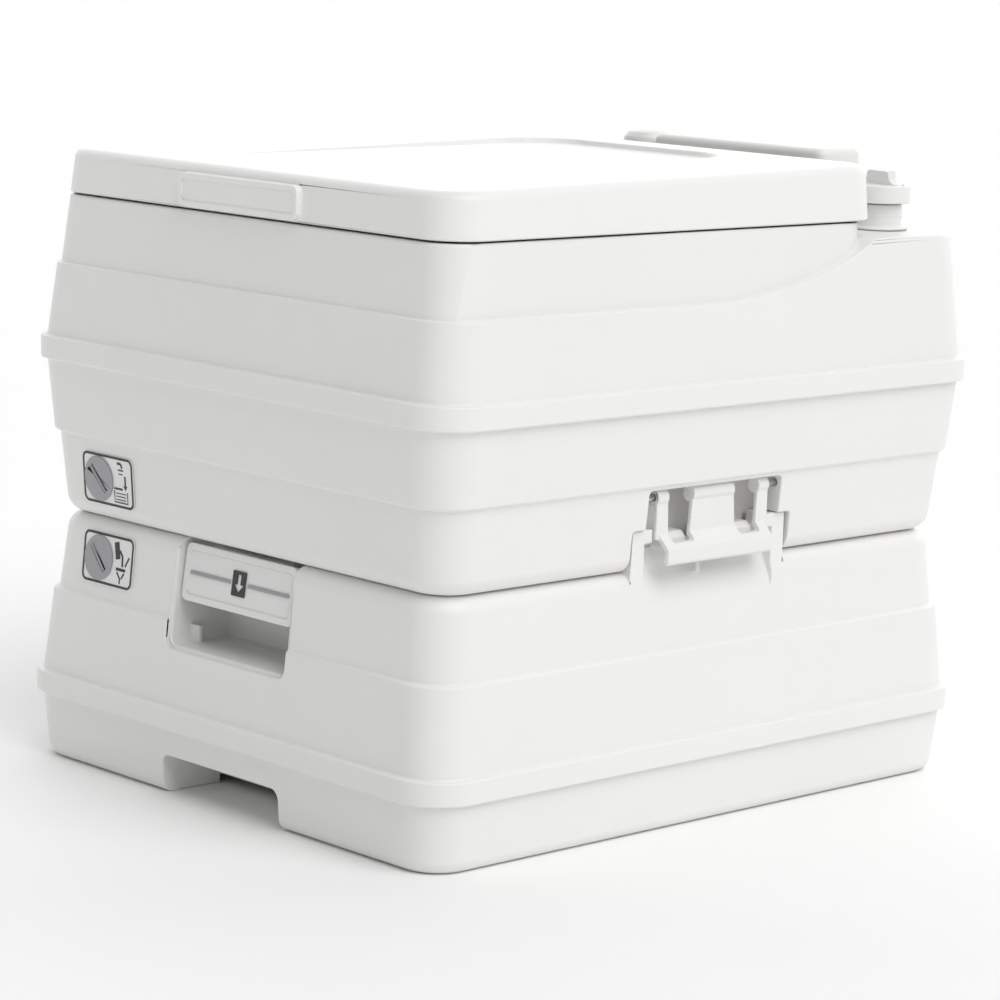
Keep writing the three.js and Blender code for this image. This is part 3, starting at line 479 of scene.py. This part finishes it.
def waste_bottom():
    rim = BASE_FLANGE_TOP - 5
    outer = loft(fillet(7, 8, lambda inset, z: outline(z, inset)) + [outline(BASE_FLANGE), outline(rim)])
    cavity = loft([
        outline(7.6, 2 * WALL),
        outline(10.6, WALL),
        outline(BASE_FLANGE, WALL),
        outline(rim, WALL, rim + 1),
    ])
    hollow = {"x": 135, "y": 163, "r": CORNER_RADIUS}
    under = loft([{**hollow, "z": -1}, {**hollow, "z": 4.6}])
    fingers = across_y(slot_points(NOTCH["half"], -1, NOTCH["roof"], NOTCH["radius"]), -230, NOTCH["rear"])
    housing = across_y(slot_points(NOTCH["half"] + WALL, -1, NOTCH["roof"] + WALL, NOTCH["radius"] + WALL),
                       -230, NOTCH["rear"] + WALL)
    return hollowed(outer, cavity, [housing], [under, fingers])


def finger_ramp(side, grow):
    back, leg, top = KEEPER["back"], KEEPER["leg"], KEEPER["ledge_z"]
    low = 120.5 - grow * 2
    start = 169.8 + grow * 0.7
    slope = [(start, low)]
    for i in range(1, 8):
        share = i / 8
        slope.append((start + (back - grow - start) * share - 1.4 * math.sin(share * math.pi),
                      low + (top - 1.3 - low) * share))
    slope += [(back - grow, top - 1.3), (back - grow, top), (200, top), (200, low)]
    return across_y([(side * x, z) for x, z in slope], -leg - grow, leg + grow)


def keeper_on(side):
    k = KEEPER
    upstand = side_box(side, k["inner"], k["outer"], -k["half"], k["half"], TANK_SPLIT - 5, k["top"])
    window = side_box(side, k["inner"] - 1, k["outer"] + 1, -k["ledge"], k["ledge"],
                      k["ledge_z"] - 1.3, k["top"] + 1)
    face = side_box(side, k["back"], k["outer"] + 1, -k["ledge"], k["ledge"],
                    k["ledge_z"] - 4, k["ledge_z"])
    upstand = cut(upstand, window, face, finger_ramp(side, 0))
    lugs = []
    for way in (-1, 1):
        y0, y1 = sorted((way * 17, way * 35))
        nose = [
            (side * (k["inner"] + 1), k["ledge_z"] - 4),
            (side * LATCH_X, k["ledge_z"] - 4),
            (side * LATCH_X, k["ledge_z"] + 1.5),
            (side * (LATCH_X - 3), k["ledge_z"] + 4.3),
            (side * (k["inner"] + 1), k["ledge_z"] + 4.3),
        ]
        lugs.append(across_y(nose, y0, y1))
    return upstand, lugs


def waste_top():
    top = TANK_SPLIT - GAP
    outer = loft(
        flange_band(BASE_FLANGE, BASE_FLANGE_TOP)
        + step_sections(LOWER_STEP, 1)
        + list(reversed(fillet(9, 8, lambda inset, drop: outline(top - drop, inset))))
    )
    cavity = loft(socket(BASE_FLANGE) + [
        outline(LOWER_STEP - 1, WALL),
        outline(LOWER_STEP + 1, WALL),
        outline(top - 9, WALL),
        outline(top - WALL, 9),
    ])

    def bay(grow):
        half_u = (BAY["x1"] - BAY["x0"]) / 2 + grow
        half_v = (BAY["top"] - BAY["bottom"]) / 2 + grow
        middle_x, middle_z = (BAY["x0"] + BAY["x1"]) / 2, (BAY["top"] + BAY["bottom"]) / 2
        return across_y(rounded(half_u, half_v, BAY["radius"], middle_x, middle_z), BAY["front"] - grow, 230)

    def recess(grow):
        return across_y(slot_points(RECESS["half"] + grow, TANK_SPLIT + 5, RECESS["bottom"] - grow,
                                    RECESS["radius"] + grow), -230, RECESS["rear"] + grow)

    def flare():
        """The soft rim of the recess: a slot that opens towards the sloping front wall."""
        rim = RECESS["rim"]
        wall_y = -half_width_at(TANK_SPLIT - 10) - EXTRA_HALF_DEPTH
        steps = [(-12, rim + 0.6), (0, rim + 0.01)]
        steps += [(rim * (1 - math.cos(a)), rim * (1 - math.sin(a)))
                  for a in [math.pi / 2 * i / 8 for i in range(1, 9)]]
        rings = []
        for depth, grow in steps:
            points = slot_points(RECESS["half"] + grow, TANK_SPLIT + 5,
                                 RECESS["bottom"] - grow, RECESS["radius"] + grow)
            rings.append([(x, wall_y + DRAFT * (z - TANK_SPLIT + 10) + depth, z) for x, z in points])
        return common(skin(rings), box(-80, 80, -240, -150, 60, TANK_SPLIT + 4))

    def trough(grow):
        return box(-TROUGH["half"] - grow, TROUGH["half"] + grow,
                   TROUGH["front"] - grow, TROUGH["rear"] + grow,
                   TROUGH["floor"] - grow, TANK_SPLIT + 5)

    walls = [bay(WALL), recess(WALL), trough(WALL), finger_ramp(1, 4), finger_ramp(-1, 4)]
    pockets = [
        bay(0),
        recess(0),
        flare(),
        trough(0),
        box(-RECESS["half"], RECESS["half"], RECESS["rear"] - 1, TROUGH["front"] + 1,
            TROUGH["floor"], TANK_SPLIT + 5),
        upright(BORE + 1, 0, 0, TROUGH["floor"] - 10, TANK_SPLIT),
        along_y(SPOUT["outer"] + GAP, SPOUT["x"], SPOUT["z"], BAY["front"] - 10, BAY["front"] + 10),
        along_y(3.3, -80, 126, BAY["front"] - 10, BAY["front"] + 10, 24),
        finger_ramp(1, 0),
        finger_ramp(-1, 0),
    ]
    shell = hollowed(outer, cavity, walls, pockets)
    left = -RECESS["half"] - 1
    shell = join(shell, box(left, left + STOP_TAB["reach"], STOP_TAB["front"], STOP_TAB["rear"],
                            RECESS["bottom"] - 1, STOP_TAB["top"]))
    for side in (1, -1):
        upstand, lugs = keeper_on(side)
        rib = side_box(side, KEEPER["back"] + 1, LATCH_X, -7.5, -4.5, 138, 146)
        feet = []
        for way in (1, -1):
            y0, y1 = sorted((way * KEEPER["leg"], way * KEEPER["half"]))
            feet.append(side_box(side, 158, KEEPER["outer"], y0, y1, 130, TANK_SPLIT - 4))
        shell = join(shell, upstand, *lugs, rib, *feet)
    return shell


# ---------------------------------------------------------------- flush tank
CUT_OUT = {"floor": 148, "half": 52, "top": 187.5, "wide": 62, "wide_top": 166.3}


def cut_out(side, grow):
    c = CUT_OUT
    half, wide, top, low = c["half"] + grow, c["wide"] + grow, c["top"] + grow, c["wide_top"] + grow
    shape = [(wide, TANK_SPLIT - 5), (wide, low - 2)]
    shape += [(wide - 2 + x, low - 2 + z) for x, z in arc(0, 0, 2, 0, 90, 5)]
    shape += [(half, low), (half, top - 2.5)]
    shape += [(half - 2.5 + x, top - 2.5 + z) for x, z in arc(0, 0, 2.5, 0, 90, 5)]
    shape += [(-u, v) for u, v in reversed(shape)]
    x0, x1 = sorted((side * (c["floor"] - grow), side * 205))
    return across_x(shape, x0, x1)


def flush_bottom():
    rim = TOP_FLANGE + 8
    outer = loft(
        fillet(9, 8, lambda inset, rise: outline(TANK_SPLIT + rise, inset))
        + step_sections(UPPER_STEP, -1)
        + [outline(TOP_FLANGE), outline(rim)]
    )
    cavity = loft([
        outline(TANK_SPLIT + WALL, 9),
        outline(TANK_SPLIT + 9, WALL),
        outline(UPPER_STEP - 1, WALL),
        outline(UPPER_STEP + 1, WALL),
        outline(TOP_FLANGE, WALL),
        outline(rim, WALL, rim + 1),
    ])
    blind = CUT_OUT["half"] + 1.8
    pockets = [cut_out(1, 0), cut_out(-1, 0), upright(BORE + 3.8, 0, 0, TANK_SPLIT - 5, TANK_SPLIT + 8)]
    pockets += [along_y(1.9, side * LATCH_X, LATCH_Z, -blind, blind, 24) for side in (1, -1)]
    return hollowed(outer, cavity, [cut_out(1, WALL), cut_out(-1, WALL)], pockets)


def swept_line():
    """The step on the side wall: level from the front, then rising in one sweep to the deck at the rear."""
    knots = [(-240, PEDESTAL_STEP), (-60, PEDESTAL_STEP), (6, PEDESTAL_STEP + 0.2), (49, 291), (82, 298.8),
             (104, 306.6), (120.5, 314.3), (127, DECK + 1)]
    points = []
    for i in range(1, len(knots) - 2):
        p0, p1, p2, p3 = knots[i - 1], knots[i], knots[i + 1], knots[i + 2]
        for k in range(8):
            points.append(tuple(spline(a, b, c, d, k / 8) for a, b, c, d in zip(p0, p1, p2, p3)))
    return [knots[0]] + points + knots[-2:] + [(240, DECK + 1)]


def top_form(start, inset):
    deck = DECK - inset
    edge = 2.6
    curve = [math.pi / 2 * (1 - i / 6) for i in range(7)]
    body = loft(start + [outline(DECK, inset + edge * (1 - math.sin(a)), deck - edge * (1 - math.cos(a)))
                         for a in curve])
    under = across_x([(-240, 200)] + [(y, z - inset) for y, z in swept_line()] + [(240, 200)], -240, 240)
    crown = PEDESTAL_TOP - inset
    pedestal = loft([outline(PEDESTAL_STEP - 8, inset + STEP)] + [
        outline(PEDESTAL_TOP, inset + STEP + 2 * (1 - math.sin(a)), crown - 2 * (1 - math.cos(a)))
        for a in curve])
    plan = {
        "x": PEDESTAL_END["half"] - inset,
        "y": (PEDESTAL_REAR - PEDESTAL_END["front"]) / 2 - inset,
        "r": PEDESTAL_END["radius"] - inset,
        "cy": (PEDESTAL_REAR + PEDESTAL_END["front"]) / 2,
    }
    pedestal = common(pedestal, loft([{**plan, "z": 200}, {**plan, "z": 400}]))
    return join(common(body, under), pedestal)


def flush_top():
    outer = top_form(flange_band(TOP_FLANGE, TOP_FLANGE_TOP), 0)
    cavity = top_form(socket(TOP_FLANGE), WALL)
    opening = {"x": 115.5, "y": 135.5, "r": 100, "cy": -45}
    hole = loft([{**opening, "z": PEDESTAL_TOP - 20}, {**opening, "z": PEDESTAL_TOP + 5}])
    return cut(outer, cavity, hole, upright(13.1, FILL_X, FILL_Y, DECK - 10, DECK + 5),
               upright(7, PUMP_X, PUMP_Y, DECK - 10, DECK + 5))


def bowl():
    def level(z, share, grow):
        return {
            "x": BORE + 66 * share + grow,
            "y": BORE + 86 * share + grow,
            "r": BORE + 54 * share + grow,
            "cy": -45 * share,
            "z": z,
        }
    lip = PEDESTAL_TOP + GAP
    knots = [(lip - 24, 0.97), (270, 0.86), (225, 0.6), (190, 0.26), (172, 0.06), (160, 0)]
    inside = []
    ends = [(lip + 1, 1.0)] + knots + [(150, 0)]
    for i in range(1, len(ends) - 2):
        for k in range(6):
            values = [spline(a, b, c, d, k / 6)
                      for a, b, c, d in zip(ends[i - 1], ends[i], ends[i + 1], ends[i + 2])]
            inside.append((values[0], max(values[1], 0.0)))
    inside.append(knots[-1])
    sections = [level(143.7, 0, 3.5)] + [level(z, s, 3) for z, s in reversed(inside)]
    sections += [level(lip, 1, 3), level(lip, 1, 11)]
    sections += [level(lip + 1.0, 1, 11), level(lip + 2.0, 1, 10.4), level(lip + 2.6, 1, 9.2)]
    sections += [level(lip + 2.6, 1, 1.8), level(lip + 2.2, 1, 0.6), level(lip + 1.2, 1, 0)]
    sections += [level(z, s, 0) for z, s in inside] + [level(143.7, 0, 0)]
    return loft(sections, closed=True)


# ---------------------------------------------------------------- lid and seat
LID = {"x": 166.8, "y": 164.5, "cy": -33.5, "bottom": 325.2, "top": 349.8, "rise": 6.2}
HINGE_Y, HINGE_Z = 138, 343
POSTS, SEAT_ARM, LID_ARM = (76, 98), 82.5, 90.3


def lid_section(z, inset, tilt=1.0):
    lean = DRAFT * (z - LID["bottom"]) + inset
    return {
        "x": LID["x"] - lean,
        "y": LID["y"] - lean,
        "r": max(CORNER_RADIUS - inset, 2),
        "cy": LID["cy"],
        "z": z,
        "lift": lambda y: tilt * LID["rise"] * (y - LID["cy"] + LID["y"]) / (2 * LID["y"]),
    }


def lid_top_at(y):
    return LID["top"] + LID["rise"] * (y - LID["cy"] + LID["y"]) / (2 * LID["y"])


def hinge_arm(side, x, front):
    low, high = sorted((side * x, side * (x + 7.2)))
    eye = along_x(6.3, HINGE_Y, HINGE_Z, low, high)
    return join(eye, box(low, high, front, HINGE_Y, HINGE_Z - 6.3, HINGE_Z + 2))


def pin_hole(side, x):
    low, high = sorted((side * (x - 1), side * (x + 8.2)))
    return along_x(4.0, HINGE_Y, HINGE_Z, low, high)


def lid_panel():
    edge = 5.0
    outer = loft(
        [lid_section(LID["bottom"] + rise, inset, 0) for rise, inset in ((0, 0.7), (0.3, 0.2), (0.9, 0))]
        + list(reversed(fillet(edge, 9, lambda inset, drop: lid_section(LID["top"] - drop, inset))))
    )
    cavity = loft([
        lid_section(LID["bottom"] - 1, WALL, 0),
        lid_section(LID["top"] - 9, WALL),
        lid_section(LID["top"] - 6, WALL + 2.5),
    ])
    basin = loft([
        {"x": 64, "y": 136, "r": 24, "cy": -39, "z": LID["top"] - 4},
        {"x": 90, "y": 142, "r": 40, "cy": -39, "z": LID["top"] + 8},
    ])
    wedge = across_x([
        (-150, lid_top_at(-150)),
        (110, lid_top_at(110) - 3.1),
        (110, LID["top"] + 20),
        (-150, LID["top"] + 20),
    ], -95, 95)
    face = LID["cy"] - LID["y"] - 3
    panel = across_y(rounded(50, 9.1, 4, 0, 335.4), face, face + 7)
    field = across_y(rounded(46.6, 5.7, 2.5, 0, 335.4), face - 1, face + 0.9)
    ways = []
    for side in (1, -1):
        ways.append(side_box(side, 81.7, 89.8, 112, 134, LID["bottom"] - 5, HINGE_Z + 7.6))
        for x in POSTS:
            ways.append(side_box(side, x - 0.8, x + 6.1, 128.2, 134, LID["bottom"] - 5, HINGE_Z + 7.6))
        ways.append(pin_hole(side, LID_ARM))
    shell = cut(join(cut(outer, cavity), panel), field, common(basin, wedge))
    for side in (1, -1):
        shell = join(shell, hinge_arm(side, LID_ARM, 127))
    return cut(shell, *ways)


def seat_ring():
    def outer(inset, z):
        return {"x": 157 - inset, "y": 146.5 - inset, "r": 62 - inset, "cy": -40.5, "z": z}

    def inner(inset, z):
        return {"x": 98 + inset, "y": 114 + inset, "r": 90 + inset, "cy": -45, "z": z}

    bottom, top = 329.5, 343.0
    curve = [math.pi / 2 * i / 7 for i in range(8)]
    sections = [outer(0, bottom), outer(0, top - 6.5)]
    sections += [outer(6.5 * (1 - math.cos(a)), top - 6.5 + 6.5 * math.sin(a)) for a in curve[1:]]
    sections += [inner(7 * (1 - math.sin(a)), top - 7 * (1 - math.cos(a))) for a in curve]
    sections += [inner(0, bottom), inner(WALL, bottom), inner(WALL, top - 7.5), inner(9, top - WALL)]
    sections += [outer(7, top - WALL), outer(WALL, top - 7), outer(WALL, bottom)]
    ring = loft(sections, closed=True)
    for side in (1, -1):
        ring = join(ring, hinge_arm(side, SEAT_ARM, 102))
    return cut(ring, pin_hole(1, SEAT_ARM), pin_hole(-1, SEAT_ARM))


# ---------------------------------------------------------------- small moulded pieces
def valve_handle():
    pull = VALVE_PULL
    half_z = (pull["top"] - pull["bottom"]) / 2
    lean = Matrix.Rotation(-pull["lean"], 4, "X")
    front = across_y(rounded(pull["half"], half_z, 4), 0, pull["thick"])
    field = across_y(rounded(pull["half"] - 4, half_z - 4, 2.5), -1, 0.8)
    slot_z = BLADE_Z - VALVE_PULL_Z
    hook = box(-30, 30, 2.4, 14, slot_z - 5, slot_z + 5)
    stem = box(-12.3, 12.3, 6.4, 15, slot_z - 2.4, slot_z + 2.4)
    return cut(join(placed(cut(front, field), lean), hook), stem)


def latch(side):
    """A frame of bent sheet that swings on two stub pins, with two windows and a pulling lip along the bottom."""
    x, z, half = LATCH_X, LATCH_Z, 43.5
    # The plate stops 0.8 below the one it stands for, so that its corner clears the roof as it swings.
    plate = side_box(side, x + 0.8, 167, -half, half, 160, z + 2.2)
    eye = along_y(4.5, side * x, z, -half, half, 40)
    lip = [(167, 163), (173.2, 156.8)]
    lip += arc(171.1, 154.1, 3.5, 30, 0, 4) + arc(172.6, 148.8, 2.0, 0, -90, 6)
    lip += [(171.6, 146.8), (171.6, 153.4), (170.6, 155.2), (x + 0.8, 161), (x + 0.8, 163)]
    shape = join(plate, eye, across_y([(side * u, v) for u, v in lip], -half + 2.4, half - 2.4))
    for way in (-1, 1):
        low, high = sorted((side * (x - 10), side * 176))
        opening = [(18.0, 159.3), (18.8, 158.3), (33.2, 158.3), (34.0, 159.3), (36.0, 200), (14.6, 200)]
        y0, y1 = sorted((way * 36.8, way * (half + 1)))
        window = across_x([(way * u, v) for u, v in opening], low, high)
        shape = cut(shape, window, along_y(1.9, side * x, z, y0, y1, 24))
    return shape


def fill_neck():
    top = 330.0
    return turned([
        (10.5, DECK - 9), (12.8, DECK - 9), (12.8, DECK + GAP), (16.3, DECK + GAP), (16.3, DECK + 1.4),
        (15.6, DECK + 2.0), (13.4, DECK + 2.3), (12.8, DECK + 3.0), (12.8, top - 7.5), (13.2, top - 7.1),
        (13.2, top - 5.9), (12.8, top - 5.5), (12.8, top - 0.6), (12.2, top), (11.0, top),
        (10.5, top - 0.5), (10.5, DECK - 9),
    ])


def fill_cap():
    ring, knob = 341.0, 348.8
    body = turned([
        (0, 334), (7.4, 334), (7.4, 324), (9.9, 324), (9.9, 331.8), (14.8, 331.8), (14.8, 330.6),
        (16.6, 330.6), (17.3, 331.2), (17.3, ring - 1.4), (17.0, ring - 0.6), (16.2, ring - 0.1),
        (15.2, ring), (0, ring),
    ], 96)
    flare = [(-15, ring - 1), (15, ring - 1)]
    flare += [(15 - 6.8 * math.sin(t), ring + 5.2 * (1 - math.cos(t)))
              for t in [i / 10 * math.pi / 2 for i in range(11)]]
    flare += [(7.7, ring + 8), (7.7, knob - 1.5), (6.8, knob - 0.4), (5.6, knob)]
    flare += [(-u, v) for u, v in reversed(flare[2:])]
    return join(body, across_y(flare, -3.2, 3.2))


def pump_housing():
    def block(shrink):
        def slab(left, right, high):
            half_x = (right - left) / 2 - shrink
            half_y = 18 - shrink
            base = {"y": half_y, "cy": PUMP_Y, "cx": (left + right) / 2}
            edge = 4.0
            sections = [{**base, "x": half_x, "r": 6 - shrink, "z": DECK + GAP - shrink}]
            for i in range(8):
                a = math.pi / 2 * i / 7
                pull = edge * (1 - math.cos(a))
                sections.append({
                    **base,
                    "x": half_x - pull,
                    "y": half_y - pull,
                    "r": max(6 - shrink - pull * 0.5, 1),
                    "z": high - shrink - edge * (1 - math.sin(a)),
                })
            return loft(sections)
        return join(slab(-85, 92, 333), slab(-46.5, 92, 358.5))
    return cut(block(0), block(2.5), upright(7, PUMP_X, PUMP_Y, DECK, 338))


def pump_knob():
    skirt, top = 347.0, 360.0
    foot = [(0, skirt + 3), (6.3, skirt + 3), (14.5, skirt + 3), (14.5, skirt), (16.1, skirt)]
    foot += [(16.5, skirt + 0.5)]
    crown = [(16.5 - 2.0 * (a / 0.5) ** 2, top - 7 + 7 * math.sin(a) ** 0.85)
             for a in (0.0, 0.12, 0.24, 0.36, 0.5)]
    crown += [(14.5 * math.cos(t), top - 7 + 3.75 + 3.25 * math.sin(t))
              for t in [math.pi / 2 * i / 10 for i in range(1, 10)]]
    return turned(foot + crown + [(0, top)], 96)


def hinge_bracket(side):
    low, high = sorted((side * 70, side * 110))
    shape = across_x([(130, DECK + GAP), (152, DECK + GAP), (152, DECK + 4), (130, DECK + 4)], low, high)
    for x in POSTS:
        outline_points = [(130, DECK + 3), (130.6, DECK + 8), (131.9, 338)]
        outline_points += arc(HINGE_Y, HINGE_Z, 6.3, 195, 15, 10)
        outline_points += [(148, 332), (152, DECK + 3)]
        a, b = sorted((side * x, side * (x + 6)))
        shape = join(shape, across_x(outline_points, a, b))
    return cut(shape, *[pin_hole(side, x) for x in POSTS])


def spout_cap():
    cup = turned([
        (0, 21.4), (23.3, 21.4), (23.3, 7), (26.4, 7), (27, 7.6), (27, 23.2), (26.6, 24.1), (25.6, 24.6),
        (12, 24.6), (10.5, 23.6), (0, 23.6),
    ], 96)
    ribs = [upright(1.3, 27 * math.cos(a), 27 * math.sin(a), 8.5, 23, 16)
            for a in [2 * math.pi * i / 12 for i in range(12)]]
    return join(cup, *ribs)


piece("Waste_tank_base", waste_bottom(), "waste_tank", "tank_white", ["waste_tank_bottom"])
piece("Waste_tank_shell", waste_top(), "waste_tank", "tank_white", ["waste_tank_top"])
piece("Flush_tank_base", flush_bottom(), "flush_unit", "tank_white", ["flush_tank_bottom"])
piece("Flush_tank_shell", flush_top(), "flush_unit", "tank_white", ["flush_tank_top"])
piece("Bowl_liner", bowl(), "flush_unit", "seat_white", ["bowl"], bevel=0.5)
piece("Lid_shell", lid_panel(), "lid", "seat_white", ["lid"], bevel=0.6)
piece("Seat_ring", seat_ring(), "seat", "seat_white", ["seat"], bevel=0.5)
piece("Fill_neck_turned", shifted(fill_neck(), FILL_X, FILL_Y, 0), "flush_unit", "tank_white", ["fill_neck"],
      bevel=0)
piece("Fill_cap_moulded", shifted(fill_cap(), FILL_X, FILL_Y, 0), "fill_cap", "trim_white", ["fill_cap"],
      bevel=0.35)
piece("Pump_cover", pump_housing(), "flush_unit", "tank_white", ["pump_housing"], bevel=0.8)
piece("Pump_button", shifted(pump_knob(), PUMP_X, PUMP_Y, 0), "pump_plunger", "trim_white", ["pump_knob"],
      bevel=0.3)
for side, word in ((1, "right"), (-1, "left")):
    piece("Latch_" + word, latch(side), "latch_" + word, "trim_white", ["latch_" + word], bevel=0.6)
    piece("Hinge_bracket_" + word, hinge_bracket(side), "flush_unit", "tank_white", ["hinge_bracket_" + word],
          bevel=0.5)


# ---------------------------------------------------------------- level windows and printed marks
BADGE_X, LENS_X = -109.5, -8.1
UPPER_BADGE_Z, LOWER_BADGE_Z = 167.2, 121.8


def ring_shape(half_u, half_v, radius, width, low, high):
    return cut(across_y(rounded(half_u, half_v, radius), low, high),
               across_y(rounded(half_u - width, half_v - width, max(radius - width, 0.5)), low - 1, high + 1))


def stroke(points, width, low, high):
    """A printed line of even width through the points."""
    left, right = [], []
    for i, (u, v) in enumerate(points):
        before = points[max(i - 1, 0)]
        after = points[min(i + 1, len(points) - 1)]
        du, dv = after[0] - before[0], after[1] - before[1]
        length = math.hypot(du, dv)
        nu, nv = -dv / length * width / 2, du / length * width / 2
        left.append((u + nu, v + nv))
        right.append((u - nu, v - nv))
    return across_y(left + right[::-1], low, high)


def pictogram_fill(low, high):
    """A tap above a tank with water levels, and an arrow down into it."""
    marks = [
        stroke([(9.0, 10.9), (11.6, 10.9), (12.8, 10.2), (13.2, 8.4)], 1.4, low, high),
        stroke([(9.6, 7.2), (14.4, 7.2)], 0.8, low, high),
        stroke([(10.2, 5.0), (13.8, 5.0)], 0.6, low, high),
        stroke([(15.8, 4.2), (15.8, -1.6)], 1.3, low, high),
        across_y([(14.0, -1.4), (17.6, -1.4), (15.8, -4.0)], low, high),
        stroke([(5.4, -3.6), (13.2, -3.6)], 1.2, low, high),
        stroke([(5.6, -5.0), (5.6, -11.4), (17.4, -11.4), (17.4, -5.0)], 0.8, low, high),
    ]
    return marks + [stroke([(7.0, v), (16.0, v)], 0.55, low, high) for v in (-6.2, -8.0, -9.8)]


def pictogram_empty(low, high):
    """A bottle tipped over a pan, with its flow running in."""
    marks = [
        stroke([(7.2, 11.0), (9.4, 1.6)], 4.2, low, high),
        stroke([(10.6, 6.6), (13.2, 3.6), (13.6, -2.2)], 1.5, low, high),
        stroke([(8.0, -4.0), (16.6, -4.0)], 1.7, low, high),
        stroke([(9.0, -5.6), (12.0, -9.2), (12.0, -12.0)], 1.1, low, high),
        stroke([(15.6, -5.6), (13.2, -9.0)], 1.1, low, high),
        stroke([(16.0, -1.8), (19.4, 3.8)], 1.1, low, high),
    ]
    return marks


def badge(word, body, z, lean, marks):
    wall_y = -half_width_at(z) - EXTRA_HALF_DEPTH
    place = Matrix.Translation((BADGE_X, wall_y - 0.35, z)) @ Matrix.Rotation(lean, 4, "X")
    plate = cut(across_y(rounded(22.9, 14.5, 4.3), -0.8, 0), along_y(12.3, LENS_X, 0, -2, 1))
    film = [ring_shape(22.8, 14.4, 4.2, 1.4, -0.95, -0.78)] + marks(-0.93, -0.78)
    lens = turned([
        (0, 0), (12.0, 0), (12.0, 1.1), (12.9, 1.15), (12.9, 1.5), (12.3, 1.85), (11.3, 1.7), (0, 1.7),
    ], 96)
    lens = placed(lens, Matrix.Translation((LENS_X, 0, 0)) @ Matrix.Rotation(math.pi / 2, 4, "X"))
    slot_place = Matrix.Translation((LENS_X, 0, 0)) @ Matrix.Rotation(math.radians(-44), 4, "Y")
    grooves = [placed(box(u - 0.5, u + 0.5, -2.2, -1.25, -9.4, 9.4), slot_place) for u in (-1.2, 1.2)]
    ridge = placed(box(-0.5, 0.5, -2.3, -1.2, -9.1, 9.1), slot_place)
    lens = join(cut(lens, *grooves), ridge)
    piece(word + "_badge_plate", placed(plate, place), body, "trim_white", [word.lower() + "_badge"], bevel=0.25)
    for i, mark in enumerate(film):
        piece(word + "_badge_print_" + str(i), placed(mark, place), body, "dark_print", bevel=0)
    piece(word + "_level_disc", placed(lens, place), body, "mid_grey", [word.lower() + "_level_lens"], bevel=0.15)


badge("Flush", "flush_unit", UPPER_BADGE_Z, LEAN, pictogram_fill)
badge("Waste", "waste_tank", LOWER_BADGE_Z, -LEAN, pictogram_empty)

GRIP_PLACE = Matrix.Translation((0, VALVE_PULL["front"], VALVE_PULL_Z))
CAP_PLACE = Matrix.Translation((SPOUT["x"], BAY["front"], SPOUT["z"])) @ Matrix.Rotation(-math.pi / 2, 4, "X")
piece("Valve_pull", placed(valve_handle(), GRIP_PLACE), "valve_gate", "trim_white", ["valve_handle"], bevel=0.6)
piece("Spout_cap_moulded", placed(spout_cap(), CAP_PLACE), "spout_cap", "mid_grey", ["spout_cap"], bevel=0.4)


# ---------------------------------------------------------------- floor, light and camera
def floor():
    mesh = mesh_of([(-80, -80, 0), (80, -80, 0), (80, 80, 0), (-80, 80, 0)], [(0, 1, 2, 3)])
    mesh.materials.append(node_material("floor_pale", (0.96, 0.96, 0.96), 0.75, 0.02, 300, 0.01))
    obj = bpy.data.objects.new("Floor", mesh)
    bpy.context.scene.collection.objects.link(obj)


floor()
sun_data = bpy.data.lights.new("sun", "SUN")
sun_data.energy = 1.7
sun_data.angle = math.radians(50)
sun = bpy.data.objects.new("sun", sun_data)
sun.rotation_euler = Vector((-0.64, 0.04, -0.77)).to_track_quat("-Z", "Y").to_euler()
bpy.context.scene.collection.objects.link(sun)
world = bpy.data.worlds.new("studio")
world.use_nodes = True
background = world.node_tree.nodes["Background"]
background.inputs["Color"].default_value = (1, 1, 1, 1)
direction = world.node_tree.nodes.new("ShaderNodeTexCoord")
towards_back = world.node_tree.nodes.new("ShaderNodeVectorMath")
towards_back.operation = "DOT_PRODUCT"
towards_back.inputs[1].default_value = (-0.69, 0.72, 0)
glow = world.node_tree.nodes.new("ShaderNodeMapRange")
for socket_name, value in (("From Min", 0.1), ("From Max", 0.9), ("To Min", 0.36), ("To Max", 1.55)):
    glow.inputs[socket_name].default_value = value
world.node_tree.links.new(direction.outputs["Generated"], towards_back.inputs[0])
world.node_tree.links.new(towards_back.outputs["Value"], glow.inputs["Value"])
world.node_tree.links.new(glow.outputs["Result"], background.inputs["Strength"])
bpy.context.scene.world = world
bpy.context.scene.view_settings.view_transform = "Standard"

AZIMUTH, ELEVATION, ROLL = (math.radians(a) for a in (46.5368, 9.6328, 1.9146))
forward = Vector((
    -math.sin(AZIMUTH) * math.cos(ELEVATION),
    math.cos(AZIMUTH) * math.cos(ELEVATION),
    -math.sin(ELEVATION),
))
right = Vector((math.cos(AZIMUTH), math.sin(AZIMUTH), 0))
up = right.cross(forward)
turned_right = math.cos(ROLL) * right + math.sin(ROLL) * up
turned_up = math.cos(ROLL) * up - math.sin(ROLL) * right
camera_data = bpy.data.cameras.new("camera")
camera_data.lens = 125.1
camera_data.sensor_width = 36
camera = bpy.data.objects.new("camera", camera_data)
axes = Matrix((turned_right, turned_up, -forward)).transposed().to_4x4()
camera.matrix_world = Matrix.Translation((1.4347, -1.3607, 0.4891)) @ axes
bpy.context.scene.collection.objects.link(camera)
bpy.context.scene.camera = camera
